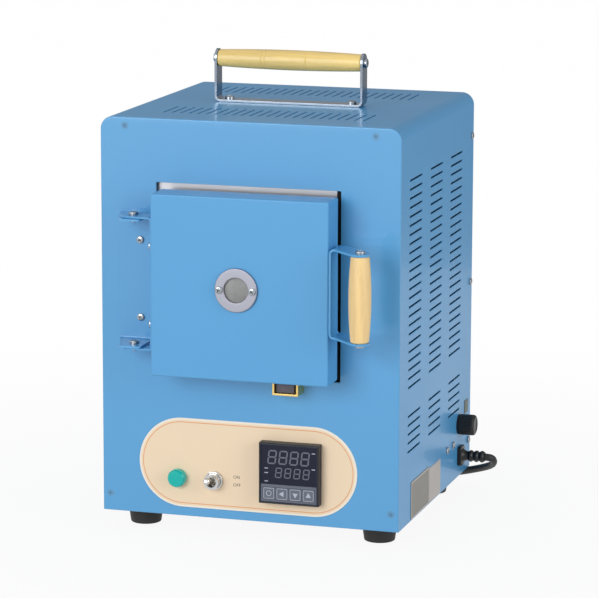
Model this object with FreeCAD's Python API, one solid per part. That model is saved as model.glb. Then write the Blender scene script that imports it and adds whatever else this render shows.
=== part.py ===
import FreeCAD, Part
import math
import os

# Bench-top electric kiln, in millimetres.
# While it is drawn, x runs from the middle of the case to the right, y from
# the face of the front panel to the back, and z up from the bench. At the end
# everything moves so that the middle of the outline stands on the origin.

Vector = FreeCAD.Vector

# Case
case_width = 240.0
case_depth = 226.0
case_height = 312.0
foot_height = 15.5
corner_radius = 10.0
sheet = 1.2
panel_sheet = 2.0
panel_edge_round = 1.0
front_lip = 12.0
pan_sheet = 1.5
pan_flange = 7.0
back_flange = 14.0
seat_gap = 0.3

# Ventilation slots, punched in groups with one pitch
slot_pitch = 7.0
slot_height = 1.6
slot_length = 37.0
slots_in_group = 24
side_slot_columns = 3
side_slot_front_margin = 26.0
side_slot_rear_margin = 37.0
side_slot_top = 269.6
low_slot_top = 85.8
low_slots = 5
top_slot_front_margin = 34.0
top_slot_rear_margin = 24.0
back_slot_length = 36.0
back_slot_top = 270.0
back_slots = 12
back_slot_columns = 2
back_slot_column_pitch = 60.0

# Screws: head radius, head height, shank radius
m3_screw = (2.9, 1.9, 1.5)
m4_screw = (3.7, 2.6, 2.0)
screw_hole_gap = 0.1
countersink_radius = 2.9
front_screw_reach = 2.8

# Places of the front panel's screws, from the case's sides, top and bottom
top_screw_inset = 20.0
top_screw_drop = 6.7
low_screw_inset = 6.0
low_screw_rise = 14.0
cover_screw_heights = (24.0, 157.0, 277.6)

# Feet
foot_top_radius = 14.2
foot_low_radius = 12.0
foot_from_side = 23.8
foot_from_end = 33.0
foot_recess_radius = 6.0
foot_recess_depth = 8.0

# Furnace
furnace_x = 1.0
furnace_height = 188.5
chamber_width = 95.0
chamber_height = 95.0
chamber_depth = 120.0
muffle_wall = 13.0
board_thickness = 22.0
rear_board_thickness = 32.0
casing_sheet = 0.8
frame_sheet = 1.2
frame_setback = 5.0
frame_overlap = 12.0
mouth_gap = 0.5
coil_radius = 2.6
coil_groove_gap = 0.4
coils_per_side = 5
coil_end_margin = 8.0
hearth_thickness = 5.0
hearth_side_gap = 4.0
hearth_front_gap = 14.0
sheath_radius = 3.0
sheath_in_chamber = 22.0
thermocouple_rise = 20.0
sheath_reach = 8.0
head_radius = 11.0
head_length = 12.0
terminal_spacing = 60.0
terminal_radius = 2.0
terminal_reach = 20.0
terminal_bush_radius = 6.0
terminal_bush_reach = 6.0
terminal_drop = 45.0

# Shelf that carries the furnace above the electric parts
shelf_flange = 8.0
shelf_post_leg = 13.0
rail_height = 8.0
rail_width = 18.0
rail_from_middle = 52.0
rail_end_margin = 10.0

# Door
door_size = 141.0
door_x = 2.6
door_stand_off = 34.0
door_flange = 25.5
door_sheet = 1.2
door_edge_round = 1.0
opening_gap = 3.5
plug_margin = 15.5
plug_gap = 0.6
tip_side_gap = 4.0
tip_taper = 2.0
tip_depth = 7.0
peephole_radius = 9.6
ring_radius = 16.9
ring_thickness = 2.4
ring_screw_spacing = 26.4
tube_wall = 1.8
window_thickness = 1.0

# Door hinge, placed from its pivot
pivot_from_door = 18.1
pivot_y = -20.5
pivot_radius = 2.0
pivot_gap = 0.05
pivot_tail = 2.5
hinge_sheet = 1.6
hinge_slip = 0.2
hinge_height = 100.2
hinge_below_middle = 0.5
lug_front = 32.0
lug_root_reach = 19.0
lug_nose_reach = 9.0
lug_inner_reach = 8.5
lug_corner = 2.0
hinge_screw_offset = 1.2
hinge_screw_spacing = 60.8
hinge_screw_drop = 1.5
door_lug_nose = 9.5
door_plate_front = 31.0
door_plate_rear = 10.5
door_hinge_screw_y = -24.5

# Door handle
grip_from_door = 27.9
grip_stand_off = 11.0
grip_above_middle = 0.8
grip_length = 65.5
grip_end_radius = 7.0
grip_middle_radius = 8.6
handle_sheet = 1.8
handle_bend = 4.0
handle_nose = 7.5
handle_web_rear = 14.0
handle_web_front = 33.0

# Carry handle
carry_x = -1.7
carry_behind_middle = 0.0
carry_width = 122.0
carry_depth = 14.0
carry_sheet = 2.0
carry_height = 42.0
carry_bend = 4.5
carry_grip_height = 34.5
carry_grip_end_radius = 6.7
carry_grip_middle_radius = 8.0
carry_screw_spacing = 101.0

# Magnetic catch below the door
catch_x = 34.0
catch_width = 20.6
catch_reach = 16.0
catch_below_door = 2.5
catch_height = 10.5
catch_sheet = 1.6
magnet_front_setback = 7.5
magnet_top_setback = 1.6
magnet_side_gap = 2.0

# Control plate, lamp and toggle switch
plate_x = -1.9
plate_z = 42.0
plate_width = 175.0
plate_height = 69.0
plate_thickness = 0.8
lamp_x = -57.5
lamp_z = 31.0
lamp_radius = 7.0
lamp_reach = 7.5
lamp_body_radius = 5.0
lamp_body_length = 26.0
toggle_x = -28.0
toggle_z = 30.7
toggle_bush_radius = 5.9
toggle_bush_reach = 8.5
toggle_nut_radius = 7.3
toggle_nut_height = 2.6
toggle_nut_sides = 12
toggle_body_width = 14.0
toggle_body_height = 28.0
toggle_body_depth = 22.0
toggle_lever_length = 19.0
toggle_lever_radius = 1.5
toggle_tip_radius = 2.7
toggle_ball_radius = 3.4
toggle_ball_gap = 0.06
toggle_tilt = 12.0

# Temperature controller
controller_x = 34.9
controller_z = 41.7
bezel_size = 48.0
bezel_reach = 9.0
bezel_rim = 1.6
bezel_recess = 2.4
controller_body_size = 44.6
controller_body_depth = 72.0
cutout_gap = 0.2
window_share = 31.0
face_sheet = 1.6
key_size = 9.4
key_gap = 0.25
key_pitch = 10.6
key_from_bottom = 8.2
key_travel = 0.5
key_proud = 0.3
key_thickness = 1.9
key_names = ("controller_key_mode", "controller_key_shift", "controller_key_down", "controller_key_up")
clamp_width = 6.0
clamp_depth = 9.0

# Relay, terminal block and fuse holder
relay_size = (45.0, 58.0, 23.0)
relay_x = 20.0
relay_from_back = 76.0
relay_corner = 2.0
block_length = 38.0
block_height = 22.0
block_depth = 17.0
block_poles = 4
block_from_back = 67.4
block_z = 30.7
block_screw_spacing = 20.0
fuse_from_back = 38.5
fuse_z = 44.0
fuse_cap_radius = 8.5
fuse_cap_reach = 16.0
fuse_cap_grooves = 12
fuse_cap_ease = 1.2
fuse_groove_radius = 1.1
fuse_body_radius = 6.4
fuse_body_length = 34.0
fuse_flange_radius = 8.2
fuse_flange_height = 1.2
fuse_stem_radius = 4.6
fuse_stem_gap = 0.08
fuse_link_radius = 2.6
fuse_link_length = 20.0

# Power cord, its bushing, coil and plug
cord_diameter = 6.0
bushing_from_back = 36.0
bushing_z = 17.4
bushing_flange = (16.0, 13.0, 6.0)
bushing_neck_radius = 6.0
bushing_inside = 10.0
sleeve_radius = 4.3
sleeve_length = 15.0
sleeve_ribs = 5
coil_centre = (20.0, 287.0)
coil_outer_turn = 45.0
coil_inner_turn = 20.0
coil_layers = 2
coil_slack = 0.4
coil_ease = 2.0
plug_length = 36.0
plug_width = 24.0
plug_thickness = 18.0
blade_length = 17.0
blade_width = 6.3
blade_thickness = 1.5
blade_spacing = 12.7

# Values worked out from the sizes above
half_case = case_width / 2
inner_half = half_case - sheet
case_bottom = foot_height
case_top = case_bottom + case_height
inner_top = case_top - sheet
panel_back = panel_sheet
lip_back = panel_sheet + sheet
pan_top = case_bottom + pan_sheet
back_start = case_depth - back_flange
furnace_z = case_bottom + furnace_height
frame_front = frame_setback
frame_back = frame_front + frame_sheet
muffle_back = frame_back + chamber_depth
casing_back = muffle_back + rear_board_thickness + casing_sheet
muffle_outer = chamber_width + 2 * muffle_wall
boards_outer = muffle_outer + 2 * board_thickness
casing_outer = boards_outer + 2 * casing_sheet
shelf_top = furnace_z - boards_outer / 2 - casing_sheet - rail_height
shelf_bottom = shelf_top - sheet
opening_size = door_size + 2 * opening_gap
plug_size = door_size - 2 * plug_margin
frame_size = opening_size + 2 * frame_overlap
mouth_size = chamber_width + 2 * mouth_gap
tip_size = mouth_size - 2 * tip_side_gap
side_slot_reach = case_depth - side_slot_front_margin - side_slot_rear_margin - slot_length
side_slot_pitch_y = side_slot_reach / (side_slot_columns - 1)
top_slot_starts = (top_slot_front_margin, case_depth - top_slot_rear_margin - slot_length)
block_y = case_depth - block_from_back
fuse_y = case_depth - fuse_from_back
bushing_y = case_depth - bushing_from_back
door_z = furnace_z
door_right = door_x + door_size / 2
door_left = door_x - door_size / 2
door_front = -door_stand_off
door_back = door_front + door_flange
grip_x = door_right + grip_from_door
grip_y = door_front - grip_stand_off
grip_z = door_z + grip_above_middle
pivot_x = door_left - pivot_from_door
hinge_middle = door_z - hinge_below_middle
hinge_low = hinge_middle - hinge_height / 2
hinge_high = hinge_middle + hinge_height / 2
hinge_screw_middle = door_z - hinge_screw_drop
hinge_screw_heights = [hinge_screw_middle + side * hinge_screw_spacing / 2 for side in (-1, 1)]
catch_top = door_z - door_size / 2 - catch_below_door
plate_front = -plate_thickness
carry_middle_y = case_depth / 2 + carry_behind_middle
carry_front = carry_middle_y - carry_depth / 2
cord_radius = cord_diameter / 2


def block(x, y, z):
    """A box from its low and high x, y and z."""
    size = (x[1] - x[0], y[1] - y[0], z[1] - z[0])
    return Part.makeBox(size[0], size[1], size[2], Vector(x[0], y[0], z[0]))


def centred(middle, size, span):
    """A box with a square or oblong section around (x, z), running along y."""
    width, height = size
    return block((middle[0] - width / 2, middle[0] + width / 2), span,
                 (middle[1] - height / 2, middle[1] + height / 2))


def rod_x(middle, radius, span):
    """A round bar along x at (y, z)."""
    start = Vector(span[0], middle[0], middle[1])
    return Part.makeCylinder(radius, span[1] - span[0], start, Vector(1, 0, 0))


def rod_y(middle, radius, span):
    """A round bar along y at (x, z)."""
    start = Vector(middle[0], span[0], middle[1])
    return Part.makeCylinder(radius, span[1] - span[0], start, Vector(0, 1, 0))


def rod_z(middle, radius, span):
    """A round bar upright at (x, y)."""
    start = Vector(middle[0], middle[1], span[0])
    return Part.makeCylinder(radius, span[1] - span[0], start, Vector(0, 0, 1))


def plan(points, z):
    """A plate from its outline seen from above, between two heights."""
    wire = Part.makePolygon([Vector(x, y, z[0]) for x, y in points + points[:1]])
    return Part.Face(wire).extrude(Vector(0, 0, z[1] - z[0]))


def turned(profile, base, direction):
    """A turned piece: profile gives (radius, distance along the axis)."""
    wire = Part.makePolygon([Vector(r, 0, d) for r, d in profile + profile[:1]])
    solid = Part.Face(wire).revolve(Vector(0, 0, 0), Vector(0, 0, 1), 360)
    solid.Placement = FreeCAD.Placement(Vector(*base), FreeCAD.Rotation(Vector(0, 0, 1), Vector(*direction)))
    return solid


def arch(half_width, z, radius, y):
    """A prism along y whose outline has two rounded top corners."""
    low, high = z
    shoulder = high - radius
    flat = half_width - radius
    dip = radius * (1 - math.sqrt(0.5))
    corners = [Vector(-half_width, y[0], low), Vector(-half_width, y[0], shoulder), Vector(-flat, y[0], high),
               Vector(flat, y[0], high), Vector(half_width, y[0], shoulder), Vector(half_width, y[0], low)]
    left = Part.Arc(corners[1], Vector(-half_width + dip, y[0], high - dip), corners[2])
    right = Part.Arc(corners[3], Vector(half_width - dip, y[0], high - dip), corners[4])
    edges = [Part.makeLine(corners[0], corners[1]), left.toShape(), Part.makeLine(corners[2], corners[3]),
             right.toShape(), Part.makeLine(corners[4], corners[5]), Part.makeLine(corners[5], corners[0])]
    return Part.Face(Part.Wire(edges)).extrude(Vector(0, y[1] - y[0], 0))


def stadium(middle, width, height, y):
    """A prism along y with half-round ends."""
    radius = height / 2
    reach = width / 2 - radius
    bar = block((middle[0] - reach, middle[0] + reach), y, (middle[1] - radius, middle[1] + radius))
    ends = [rod_y((middle[0] + side * reach, middle[1]), radius, y) for side in (-1, 1)]
    return bar.fuse(ends).removeSplitter()


def pan_screw(seat, direction, sizes, grip):
    """A pan-head screw whose head stands on seat and whose shank goes in against direction."""
    head_radius, head_height, shank_radius = sizes
    crown = head_radius * 0.72
    profile = [(0, -grip), (shank_radius, -grip), (shank_radius, 0), (head_radius, 0),
               (head_radius, head_height * 0.45), (crown, head_height), (0, head_height)]
    return turned(profile, seat, direction)


def screw_hole(seat, direction, sizes, depth):
    """The clearance hole of a screw, from just outside its seat to depth."""
    way = Vector(*direction)
    start = Vector(*seat) + way
    return Part.makeCylinder(sizes[2] + screw_hole_gap, depth + 1, start, way.negative())


def grouped(solids):
    return Part.makeCompound(solids)


# Case

def front_screw_spots():
    top = [(side * (half_case - top_screw_inset), case_top - top_screw_drop) for side in (-1, 1)]
    low = [(side * (half_case - low_screw_inset), case_bottom + low_screw_rise) for side in (-1, 1)]
    return top + low


def countersunk_profile(extra=0.0):
    head_depth = countersink_radius - m3_screw[2]
    shank = m3_screw[2] + extra
    head = countersink_radius + extra
    length = panel_sheet + front_screw_reach
    return [(0, -length), (shank, -length), (shank, -head_depth), (head, 0), (0, 0)]


def front_panel_screws():
    return grouped([turned(countersunk_profile(), (x, 0, z), (0, -1, 0)) for x, z in front_screw_spots()])


def front_panel():
    panel = arch(half_case, (case_bottom, case_top), corner_radius, (0, panel_sheet))
    rim = [edge for edge in panel.Edges if edge.BoundBox.YMax < panel_sheet / 2]
    panel = panel.makeFillet(panel_edge_round, rim)
    through = (-1, panel_sheet + 1)
    cuts = [centred((furnace_x, furnace_z), (opening_size, opening_size), through)]
    countersink = countersunk_profile(screw_hole_gap)
    cuts += [turned(countersink, (x, 0, z), (0, -1, 0)) for x, z in front_screw_spots()]
    cuts += control_cutouts(through)
    cuts += [screw_hole(*spot, m3_screw, hinge_screw_grip) for spot in hinge_screw_seats()]
    return panel.cut(cuts)


def slot_tops():
    high = [case_bottom + side_slot_top - row * slot_pitch for row in range(slots_in_group)]
    low = [case_bottom + low_slot_top - row * slot_pitch for row in range(low_slots)]
    return high + low


def side_slots():
    across = (-half_case - 1, half_case + 1)
    slots = []
    for column in range(side_slot_columns):
        start = side_slot_front_margin + column * side_slot_pitch_y
        for top in slot_tops():
            slots.append(block(across, (start, start + slot_length), (top - slot_height, top)))
    return slots


def top_slots():
    first = -(slots_in_group - 1) * slot_pitch / 2
    slots = []
    for start in top_slot_starts:
        for row in range(slots_in_group):
            x = first + row * slot_pitch
            slots.append(block((x - slot_height / 2, x + slot_height / 2), (start, start + slot_length),
                               (inner_top - 1, case_top + 1)))
    return slots


def cover_screw_seats():
    y = case_depth - back_flange / 2
    seats = []
    for side in (-1, 1):
        seats += [((side * half_case, y, case_bottom + z), (side, 0, 0)) for z in cover_screw_heights]
    return seats


def block_screw_seats():
    return [((half_case, block_y + side * block_screw_spacing / 2, case_bottom + block_z), (1, 0, 0))
            for side in (-1, 1)]


cover_screw_grip = 2 * sheet + 4
block_screw_grip = sheet + 6


def wrapper_cover():
    outer = arch(half_case, (case_bottom, case_top), corner_radius, (panel_back, case_depth))
    inner = arch(inner_half, (case_bottom - 1, inner_top), corner_radius - sheet, (lip_back, case_depth + 1))
    window = arch(inner_half - front_lip, (case_bottom - 1, inner_top - front_lip), corner_radius - sheet,
                  (panel_back - 1, lip_back + 1))
    cuts = [inner, window] + side_slots() + top_slots()
    cuts += [screw_hole(*spot, m3_screw, cover_screw_grip) for spot in cover_screw_seats()]
    cuts += [screw_hole(*spot, m3_screw, block_screw_grip) for spot in block_screw_seats()]
    cuts += [screw_hole(*spot, m4_screw, carry_screw_grip) for spot in carry_base_seats()]
    cuts += [screw_hole((x, 0, z), (0, -1, 0), m3_screw, lip_back + 1) for x, z in front_screw_spots()]
    cuts.append(rod_x((fuse_y, case_bottom + fuse_z), fuse_body_radius + screw_hole_gap,
                      (inner_half - 1, half_case + 1)))
    cuts.append(rod_x((bushing_y, case_bottom + bushing_z), bushing_neck_radius + screw_hole_gap,
                      (inner_half - 1, half_case + 1)))
    return outer.cut(cuts)


def back_panel():
    outer = arch(inner_half, (pan_top, inner_top), corner_radius - sheet, (back_start, case_depth))
    inner = arch(inner_half - sheet, (pan_top + sheet, inner_top - sheet), corner_radius - 2 * sheet,
                 (back_start - 1, case_depth - sheet))
    cuts = [inner]
    for column in range(back_slot_columns):
        x = (column - (back_slot_columns - 1) / 2) * back_slot_column_pitch
        for row in range(back_slots):
            top = case_bottom + back_slot_top - row * slot_pitch
            cuts.append(block((x - back_slot_length / 2, x + back_slot_length / 2),
                              (case_depth - sheet - 1, case_depth + 1), (top - slot_height, top)))
    cuts += [screw_hole(*spot, m3_screw, cover_screw_grip) for spot in cover_screw_seats()]
    return outer.cut(cuts)


def foot_spots():
    x = half_case - foot_from_side
    return [(side * x, y) for side in (-1, 1) for y in (foot_from_end, case_depth - foot_from_end)]


def base_pan():
    pan = block((-inner_half, inner_half), (lip_back, case_depth), (case_bottom, pan_top))
    height = (pan_top, case_bottom + pan_flange)
    flange_end = back_start - seat_gap
    for side in (-1, 1):
        edges = sorted((side * inner_half, side * (inner_half - pan_sheet)))
        pan = pan.fuse(block(edges, (lip_back, flange_end), height))
    front = block((-inner_half, inner_half), (lip_back, lip_back + pan_sheet), height)
    pan = pan.fuse(front).removeSplitter()
    hole = m4_screw[2] + screw_hole_gap
    return pan.cut([rod_z(spot, hole, (case_bottom - 1, pan_top + 1)) for spot in foot_spots()])


def rubber_feet():
    feet = []
    hole = m4_screw[2] + screw_hole_gap
    seat = foot_height - foot_recess_depth
    profile = [(hole, seat), (foot_recess_radius, seat), (foot_recess_radius, 0), (foot_low_radius - 1, 0),
               (foot_low_radius, 1), (foot_top_radius, foot_height), (hole, foot_height)]
    for x, y in foot_spots():
        feet.append(turned(profile, (x, y, 0), (0, 0, 1)))
    return grouped(feet)


def case_screws():
    screws = [pan_screw(*spot, m3_screw, cover_screw_grip) for spot in cover_screw_seats()]
    screws += [pan_screw(*spot, m3_screw, block_screw_grip) for spot in block_screw_seats()]
    screws += [pan_screw(*spot, m3_screw, hinge_screw_grip) for spot in hinge_screw_seats()]
    foot_grip = foot_recess_depth + pan_sheet + 3
    seat = foot_height - foot_recess_depth
    screws += [pan_screw((x, y, seat), (0, 0, -1), m4_screw, foot_grip) for x, y in foot_spots()]
    return grouped(screws)


# Carry handle

carry_screw_grip = carry_sheet + sheet + 4
carry_grip_screw_grip = carry_sheet + 12


def carry_base_seats():
    return [((carry_x + side * carry_screw_spacing / 2, carry_middle_y, case_top + carry_sheet), (0, 0, 1))
            for side in (-1, 1)]


def carry_grip_seats():
    z = case_top + carry_grip_height
    return [((carry_x + side * carry_width / 2, carry_middle_y, z), (side, 0, 0)) for side in (-1, 1)]


def carry_bracket():
    half = carry_width / 2
    depth = (carry_front, carry_front + carry_depth)
    tall = case_top + carry_height
    outer = block((carry_x - half, carry_x + half), depth, (case_top, tall))
    bends = [edge for edge in outer.Edges if edge.BoundBox.ZMax < case_top + 1 and edge.BoundBox.YLength > 1]
    outer = outer.makeFillet(carry_bend, bends)
    inner = block((carry_x - half + carry_sheet, carry_x + half - carry_sheet), depth,
                  (case_top + carry_sheet, tall + 1))
    bends = [edge for edge in inner.Edges
             if edge.BoundBox.ZMax < case_top + carry_sheet + 1 and edge.BoundBox.YLength > 1]
    inner = inner.makeFillet(carry_bend - carry_sheet, bends)
    nose = carry_depth / 2
    across = (carry_x - half - 1, carry_x + half + 1)
    side_view = block(across, depth, (case_top - 1, tall - nose))
    side_view = side_view.fuse(rod_x((carry_middle_y, tall - nose), nose, across))
    bracket = outer.cut(inner).common(side_view)
    cuts = [screw_hole(*spot, m4_screw, carry_screw_grip) for spot in carry_base_seats()]
    cuts += [screw_hole(*spot, m4_screw, carry_grip_screw_grip) for spot in carry_grip_seats()]
    return bracket.cut(cuts)


def barrel(length, end_radius, middle_radius, base, direction):
    """A turned grip that swells towards its middle and has eased ends."""
    ease = 1.0
    left = Vector(end_radius, 0, ease)
    middle = Vector(middle_radius, 0, length / 2)
    right = Vector(end_radius, 0, length - ease)
    swell = Part.Arc(left, middle, right).toShape()
    tip = Vector(end_radius - ease, 0, length)
    root = Vector(end_radius - ease, 0, 0)
    edges = [swell, Part.makeLine(right, tip), Part.makeLine(tip, Vector(0, 0, length)),
             Part.makeLine(Vector(0, 0, length), Vector(0, 0, 0)), Part.makeLine(Vector(0, 0, 0), root),
             Part.makeLine(root, left)]
    grip = Part.Face(Part.Wire(edges)).revolve(Vector(0, 0, 0), Vector(0, 0, 1), 360)
    grip.Placement = FreeCAD.Placement(Vector(*base), FreeCAD.Rotation(Vector(0, 0, 1), Vector(*direction)))
    return grip


def carry_grip():
    length = carry_width - 2 * carry_sheet
    start = (carry_x - length / 2, carry_middle_y, case_top + carry_grip_height)
    grip = barrel(length, carry_grip_end_radius, carry_grip_middle_radius, start, (1, 0, 0))
    return grip.cut([screw_hole(*spot, m4_screw, carry_grip_screw_grip + 1) for spot in carry_grip_seats()])


def carry_screws():
    screws = [pan_screw(*spot, m4_screw, carry_screw_grip) for spot in carry_base_seats()]
    screws += [pan_screw(*spot, m4_screw, carry_grip_screw_grip) for spot in carry_grip_seats()]
    return grouped(screws)


# Control panel

lamp_middle = (lamp_x, case_bottom + lamp_z)
toggle_middle = (toggle_x, case_bottom + toggle_z)
controller_middle = (controller_x, case_bottom + controller_z)


def control_cutouts(through):
    cutout = controller_body_size + 2 * cutout_gap
    return [rod_y(lamp_middle, lamp_body_radius + screw_hole_gap, through),
            rod_y(toggle_middle, toggle_bush_radius + screw_hole_gap, through),
            centred(controller_middle, (cutout, cutout), through)]


def control_plate():
    plate = stadium((plate_x, case_bottom + plate_z), plate_width, plate_height, (plate_front, 0))
    return plate.cut(control_cutouts((plate_front - 1, 1)))


def pilot_lamp_lens():
    wall = 1.2
    ease = 1.4
    mouth = lamp_reach - wall
    profile = [(lamp_body_radius + 0.1, 0), (lamp_radius, 0), (lamp_radius, lamp_reach - ease),
               (lamp_radius - ease, lamp_reach), (0, lamp_reach), (0, mouth), (lamp_body_radius + 0.1, mouth)]
    return turned(profile, (lamp_middle[0], plate_front, lamp_middle[1]), (0, -1, 0))


def pilot_lamp_body():
    x, z = lamp_middle
    bulb_reach = lamp_reach - 2
    body = rod_y(lamp_middle, lamp_body_radius, (plate_front - bulb_reach, lamp_body_length))
    nut = rod_y(lamp_middle, lamp_body_radius + 2.2, (panel_back, panel_back + 3))
    pins = [rod_y((x + side * 2.2, z), 0.8, (lamp_body_length, lamp_body_length + 6)) for side in (-1, 1)]
    return body.fuse([nut] + pins).removeSplitter()


toggle_pivot_y = plate_front - toggle_nut_height


def toggle_axis_direction(tilt):
    angle = math.radians(tilt)
    return (0, -math.cos(angle), math.sin(angle))


def toggle_switch_body():
    x, z = toggle_middle
    body = centred(toggle_middle, (toggle_body_width, toggle_body_height),
                   (panel_back, panel_back + toggle_body_depth))
    front = plate_front - toggle_bush_reach
    bush = rod_y(toggle_middle, toggle_bush_radius, (front, panel_back + 1))
    lugs = [block((x - 3, x + 3), (panel_back + toggle_body_depth, panel_back + toggle_body_depth + 8),
                  (z + rise - 0.4, z + rise + 0.4)) for rise in (-9, 0, 9)]
    whole = body.fuse([bush] + lugs).removeSplitter()
    socket = Part.makeSphere(toggle_ball_radius + toggle_ball_gap, Vector(x, toggle_pivot_y, z))
    slack = math.tan(math.radians(toggle_tilt + 6))
    depth = toggle_pivot_y - front + 1
    mouth = Part.makeCone(toggle_lever_radius + 0.6, toggle_lever_radius + 0.6 + depth * slack, depth,
                          Vector(x, toggle_pivot_y, z), Vector(0, -1, 0))
    return whole.cut([socket, mouth])


def toggle_nut():
    x, z = toggle_middle
    corner = toggle_nut_radius / math.cos(math.pi / toggle_nut_sides)
    points = []
    for step in range(toggle_nut_sides + 1):
        angle = 2 * math.pi * step / toggle_nut_sides
        points.append(Vector(x + corner * math.cos(angle), plate_front, z + corner * math.sin(angle)))
    nut = Part.Face(Part.makePolygon(points)).extrude(Vector(0, -toggle_nut_height, 0))
    return nut.cut(rod_y(toggle_middle, toggle_bush_radius, (plate_front - toggle_nut_height - 1, 1)))


def toggle_lever():
    x, z = toggle_middle
    way = toggle_axis_direction(toggle_tilt)
    length = toggle_lever_length
    neck = 0.8
    tip = toggle_tip_radius
    profile = [(0, 0), (toggle_lever_radius, 0), (toggle_lever_radius, length * 0.35),
               (tip * neck, length * 0.6), (tip, length - tip), (tip * neck, length - tip * 0.35),
               (tip * 0.4, length), (0, length)]
    shaft = turned(profile, (x, toggle_pivot_y, z), way)
    ball = Part.makeSphere(toggle_ball_radius, Vector(x, toggle_pivot_y, z))
    return shaft.fuse(ball).removeSplitter()


# Temperature controller

bezel_front = plate_front - bezel_reach
face_back = bezel_front + bezel_recess
face_low = controller_middle[1] - bezel_size / 2 + bezel_rim
face_high = controller_middle[1] + bezel_size / 2 - bezel_rim
face_split = face_high - window_share
face_half = bezel_size / 2 - bezel_rim
key_z = face_low + key_from_bottom - bezel_rim
key_back = face_back - face_sheet - key_proud + key_thickness


def key_middles():
    first = controller_x - key_pitch * (len(key_names) - 1) / 2
    return [(first + step * key_pitch, key_z) for step in range(len(key_names))]


def controller_housing():
    bezel = centred(controller_middle, (bezel_size, bezel_size), (bezel_front, plate_front))
    rim = [edge for edge in bezel.Edges if edge.BoundBox.YMax < bezel_front + 0.5]
    bezel = bezel.makeChamfer(0.6, rim)
    body = centred(controller_middle, (controller_body_size, controller_body_size),
                   (plate_front - 1, controller_body_depth))
    whole = bezel.fuse(body)
    cuts = [block((controller_x - face_half, controller_x + face_half), (bezel_front - 1, face_back),
                  (face_low, face_high))]
    pocket = key_size + 2 * key_gap
    cuts += [centred(middle, (pocket, pocket), (face_back - 1, key_back + key_travel + 0.3))
             for middle in key_middles()]
    return whole.cut(cuts)


def controller_window():
    width = (controller_x - face_half, controller_x + face_half)
    return block(width, (face_back - face_sheet, face_back), (face_split, face_high))


def controller_keypad():
    width = (controller_x - face_half, controller_x + face_half)
    plate = block(width, (face_back - face_sheet, face_back), (face_low, face_split))
    hole = key_size + 2 * key_gap
    return plate.cut([centred(middle, (hole, hole), (face_back - face_sheet - 1, face_back + 1))
                      for middle in key_middles()])


def controller_key(middle):
    front = face_back - face_sheet - key_proud
    key = centred(middle, (key_size, key_size), (front, key_back))
    rim = [edge for edge in key.Edges if edge.BoundBox.YMax < front + 0.1]
    return key.makeChamfer(0.25, rim)


def controller_clamp():
    outer = controller_body_size + 2 * clamp_width
    hole = controller_body_size + 2 * cutout_gap
    frame = centred(controller_middle, (outer, outer), (panel_back, panel_back + clamp_depth))
    return frame.cut(centred(controller_middle, (hole, hole), (panel_back - 1, panel_back + clamp_depth + 1)))


# Furnace

furnace_middle = (furnace_x, furnace_z)
chamber_low = furnace_z - chamber_height / 2
wall_outer_height = chamber_height + 2 * muffle_wall
boards_height = wall_outer_height + 2 * board_thickness
casing_height = boards_height + 2 * casing_sheet


def furnace_front_frame():
    plate = centred(furnace_middle, (frame_size, frame_size), (frame_front, frame_back))
    return plate.cut(centred(furnace_middle, (mouth_size, mouth_size), (frame_front - 1, frame_back + 1)))


def rear_bushings(radius):
    span = (muffle_back - 1, casing_back + 1)
    sheath = rod_y((furnace_x, furnace_z + thermocouple_rise), sheath_radius + radius, span)
    bushes = [rod_y(spot, terminal_bush_radius + radius, span) for spot in terminal_spots()]
    return [sheath] + bushes


def terminal_spots():
    return [(furnace_x + side * terminal_spacing / 2, furnace_z - terminal_drop) for side in (-1, 1)]


def furnace_casing():
    outer = centred(furnace_middle, (casing_outer, casing_height), (frame_back, casing_back))
    inside = (frame_back - 1, casing_back - casing_sheet)
    inner = centred(furnace_middle, (boards_outer, boards_height), inside)
    return outer.cut([inner] + rear_bushings(screw_hole_gap))


def insulation_boards():
    y = (frame_back, muffle_back)
    half = boards_outer / 2
    wall = muffle_outer / 2
    tall = wall_outer_height / 2
    boards = []
    for side in (-1, 1):
        z = sorted((furnace_z + side * tall, furnace_z + side * (tall + board_thickness)))
        boards.append(block((furnace_x - half, furnace_x + half), y, z))
        x = sorted((furnace_x + side * wall, furnace_x + side * half))
        boards.append(block(x, y, (furnace_z - tall, furnace_z + tall)))
    return grouped(boards)


def rear_insulation():
    board = centred(furnace_middle, (boards_outer, boards_height), (muffle_back, casing_back - casing_sheet))
    return board.cut(rear_bushings(screw_hole_gap))


def coil_lines():
    """Places (x, z) of the heating coils, in the two side walls of the chamber."""
    reach = chamber_height / 2 - coil_end_margin
    pitch = 2 * reach / (coils_per_side - 1)
    wall = chamber_width / 2 + coil_radius + coil_groove_gap
    return [(furnace_x + side * wall, furnace_z - reach + step * pitch)
            for side in (-1, 1) for step in range(coils_per_side)]


def furnace_muffle():
    """Four ceramic slabs round the chamber: floor, roof and two side walls grooved for the coils."""
    span = (frame_back, muffle_back)
    outer = muffle_outer / 2
    inner = chamber_width / 2
    slabs = []
    for side in (-1, 1):
        z = sorted((furnace_z + side * chamber_height / 2, furnace_z + side * wall_outer_height / 2))
        slabs.append(block((furnace_x - outer, furnace_x + outer), span, z))
    for side in (-1, 1):
        x = sorted((furnace_x + side * inner, furnace_x + side * outer))
        wall = block(x, span, (chamber_low, chamber_low + chamber_height))
        grooves = [coil_groove(spot) for spot in coil_lines() if (spot[0] - furnace_x) * side > 0]
        slabs.append(wall.cut(grooves))
    return grouped(slabs)


def coil_groove(spot):
    """A groove that is open to the chamber through a mouth narrower than the coil's seat."""
    x, z = spot
    side = 1 if x > furnace_x else -1
    seat = coil_radius + coil_groove_gap
    half_mouth = seat * 0.8
    span = (frame_back + coil_end_margin, muffle_back)
    mouth = sorted((furnace_x + side * (chamber_width / 2 - 1), x))
    return rod_y(spot, seat, span).fuse(block(mouth, span, (z - half_mouth, z + half_mouth)))


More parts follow.
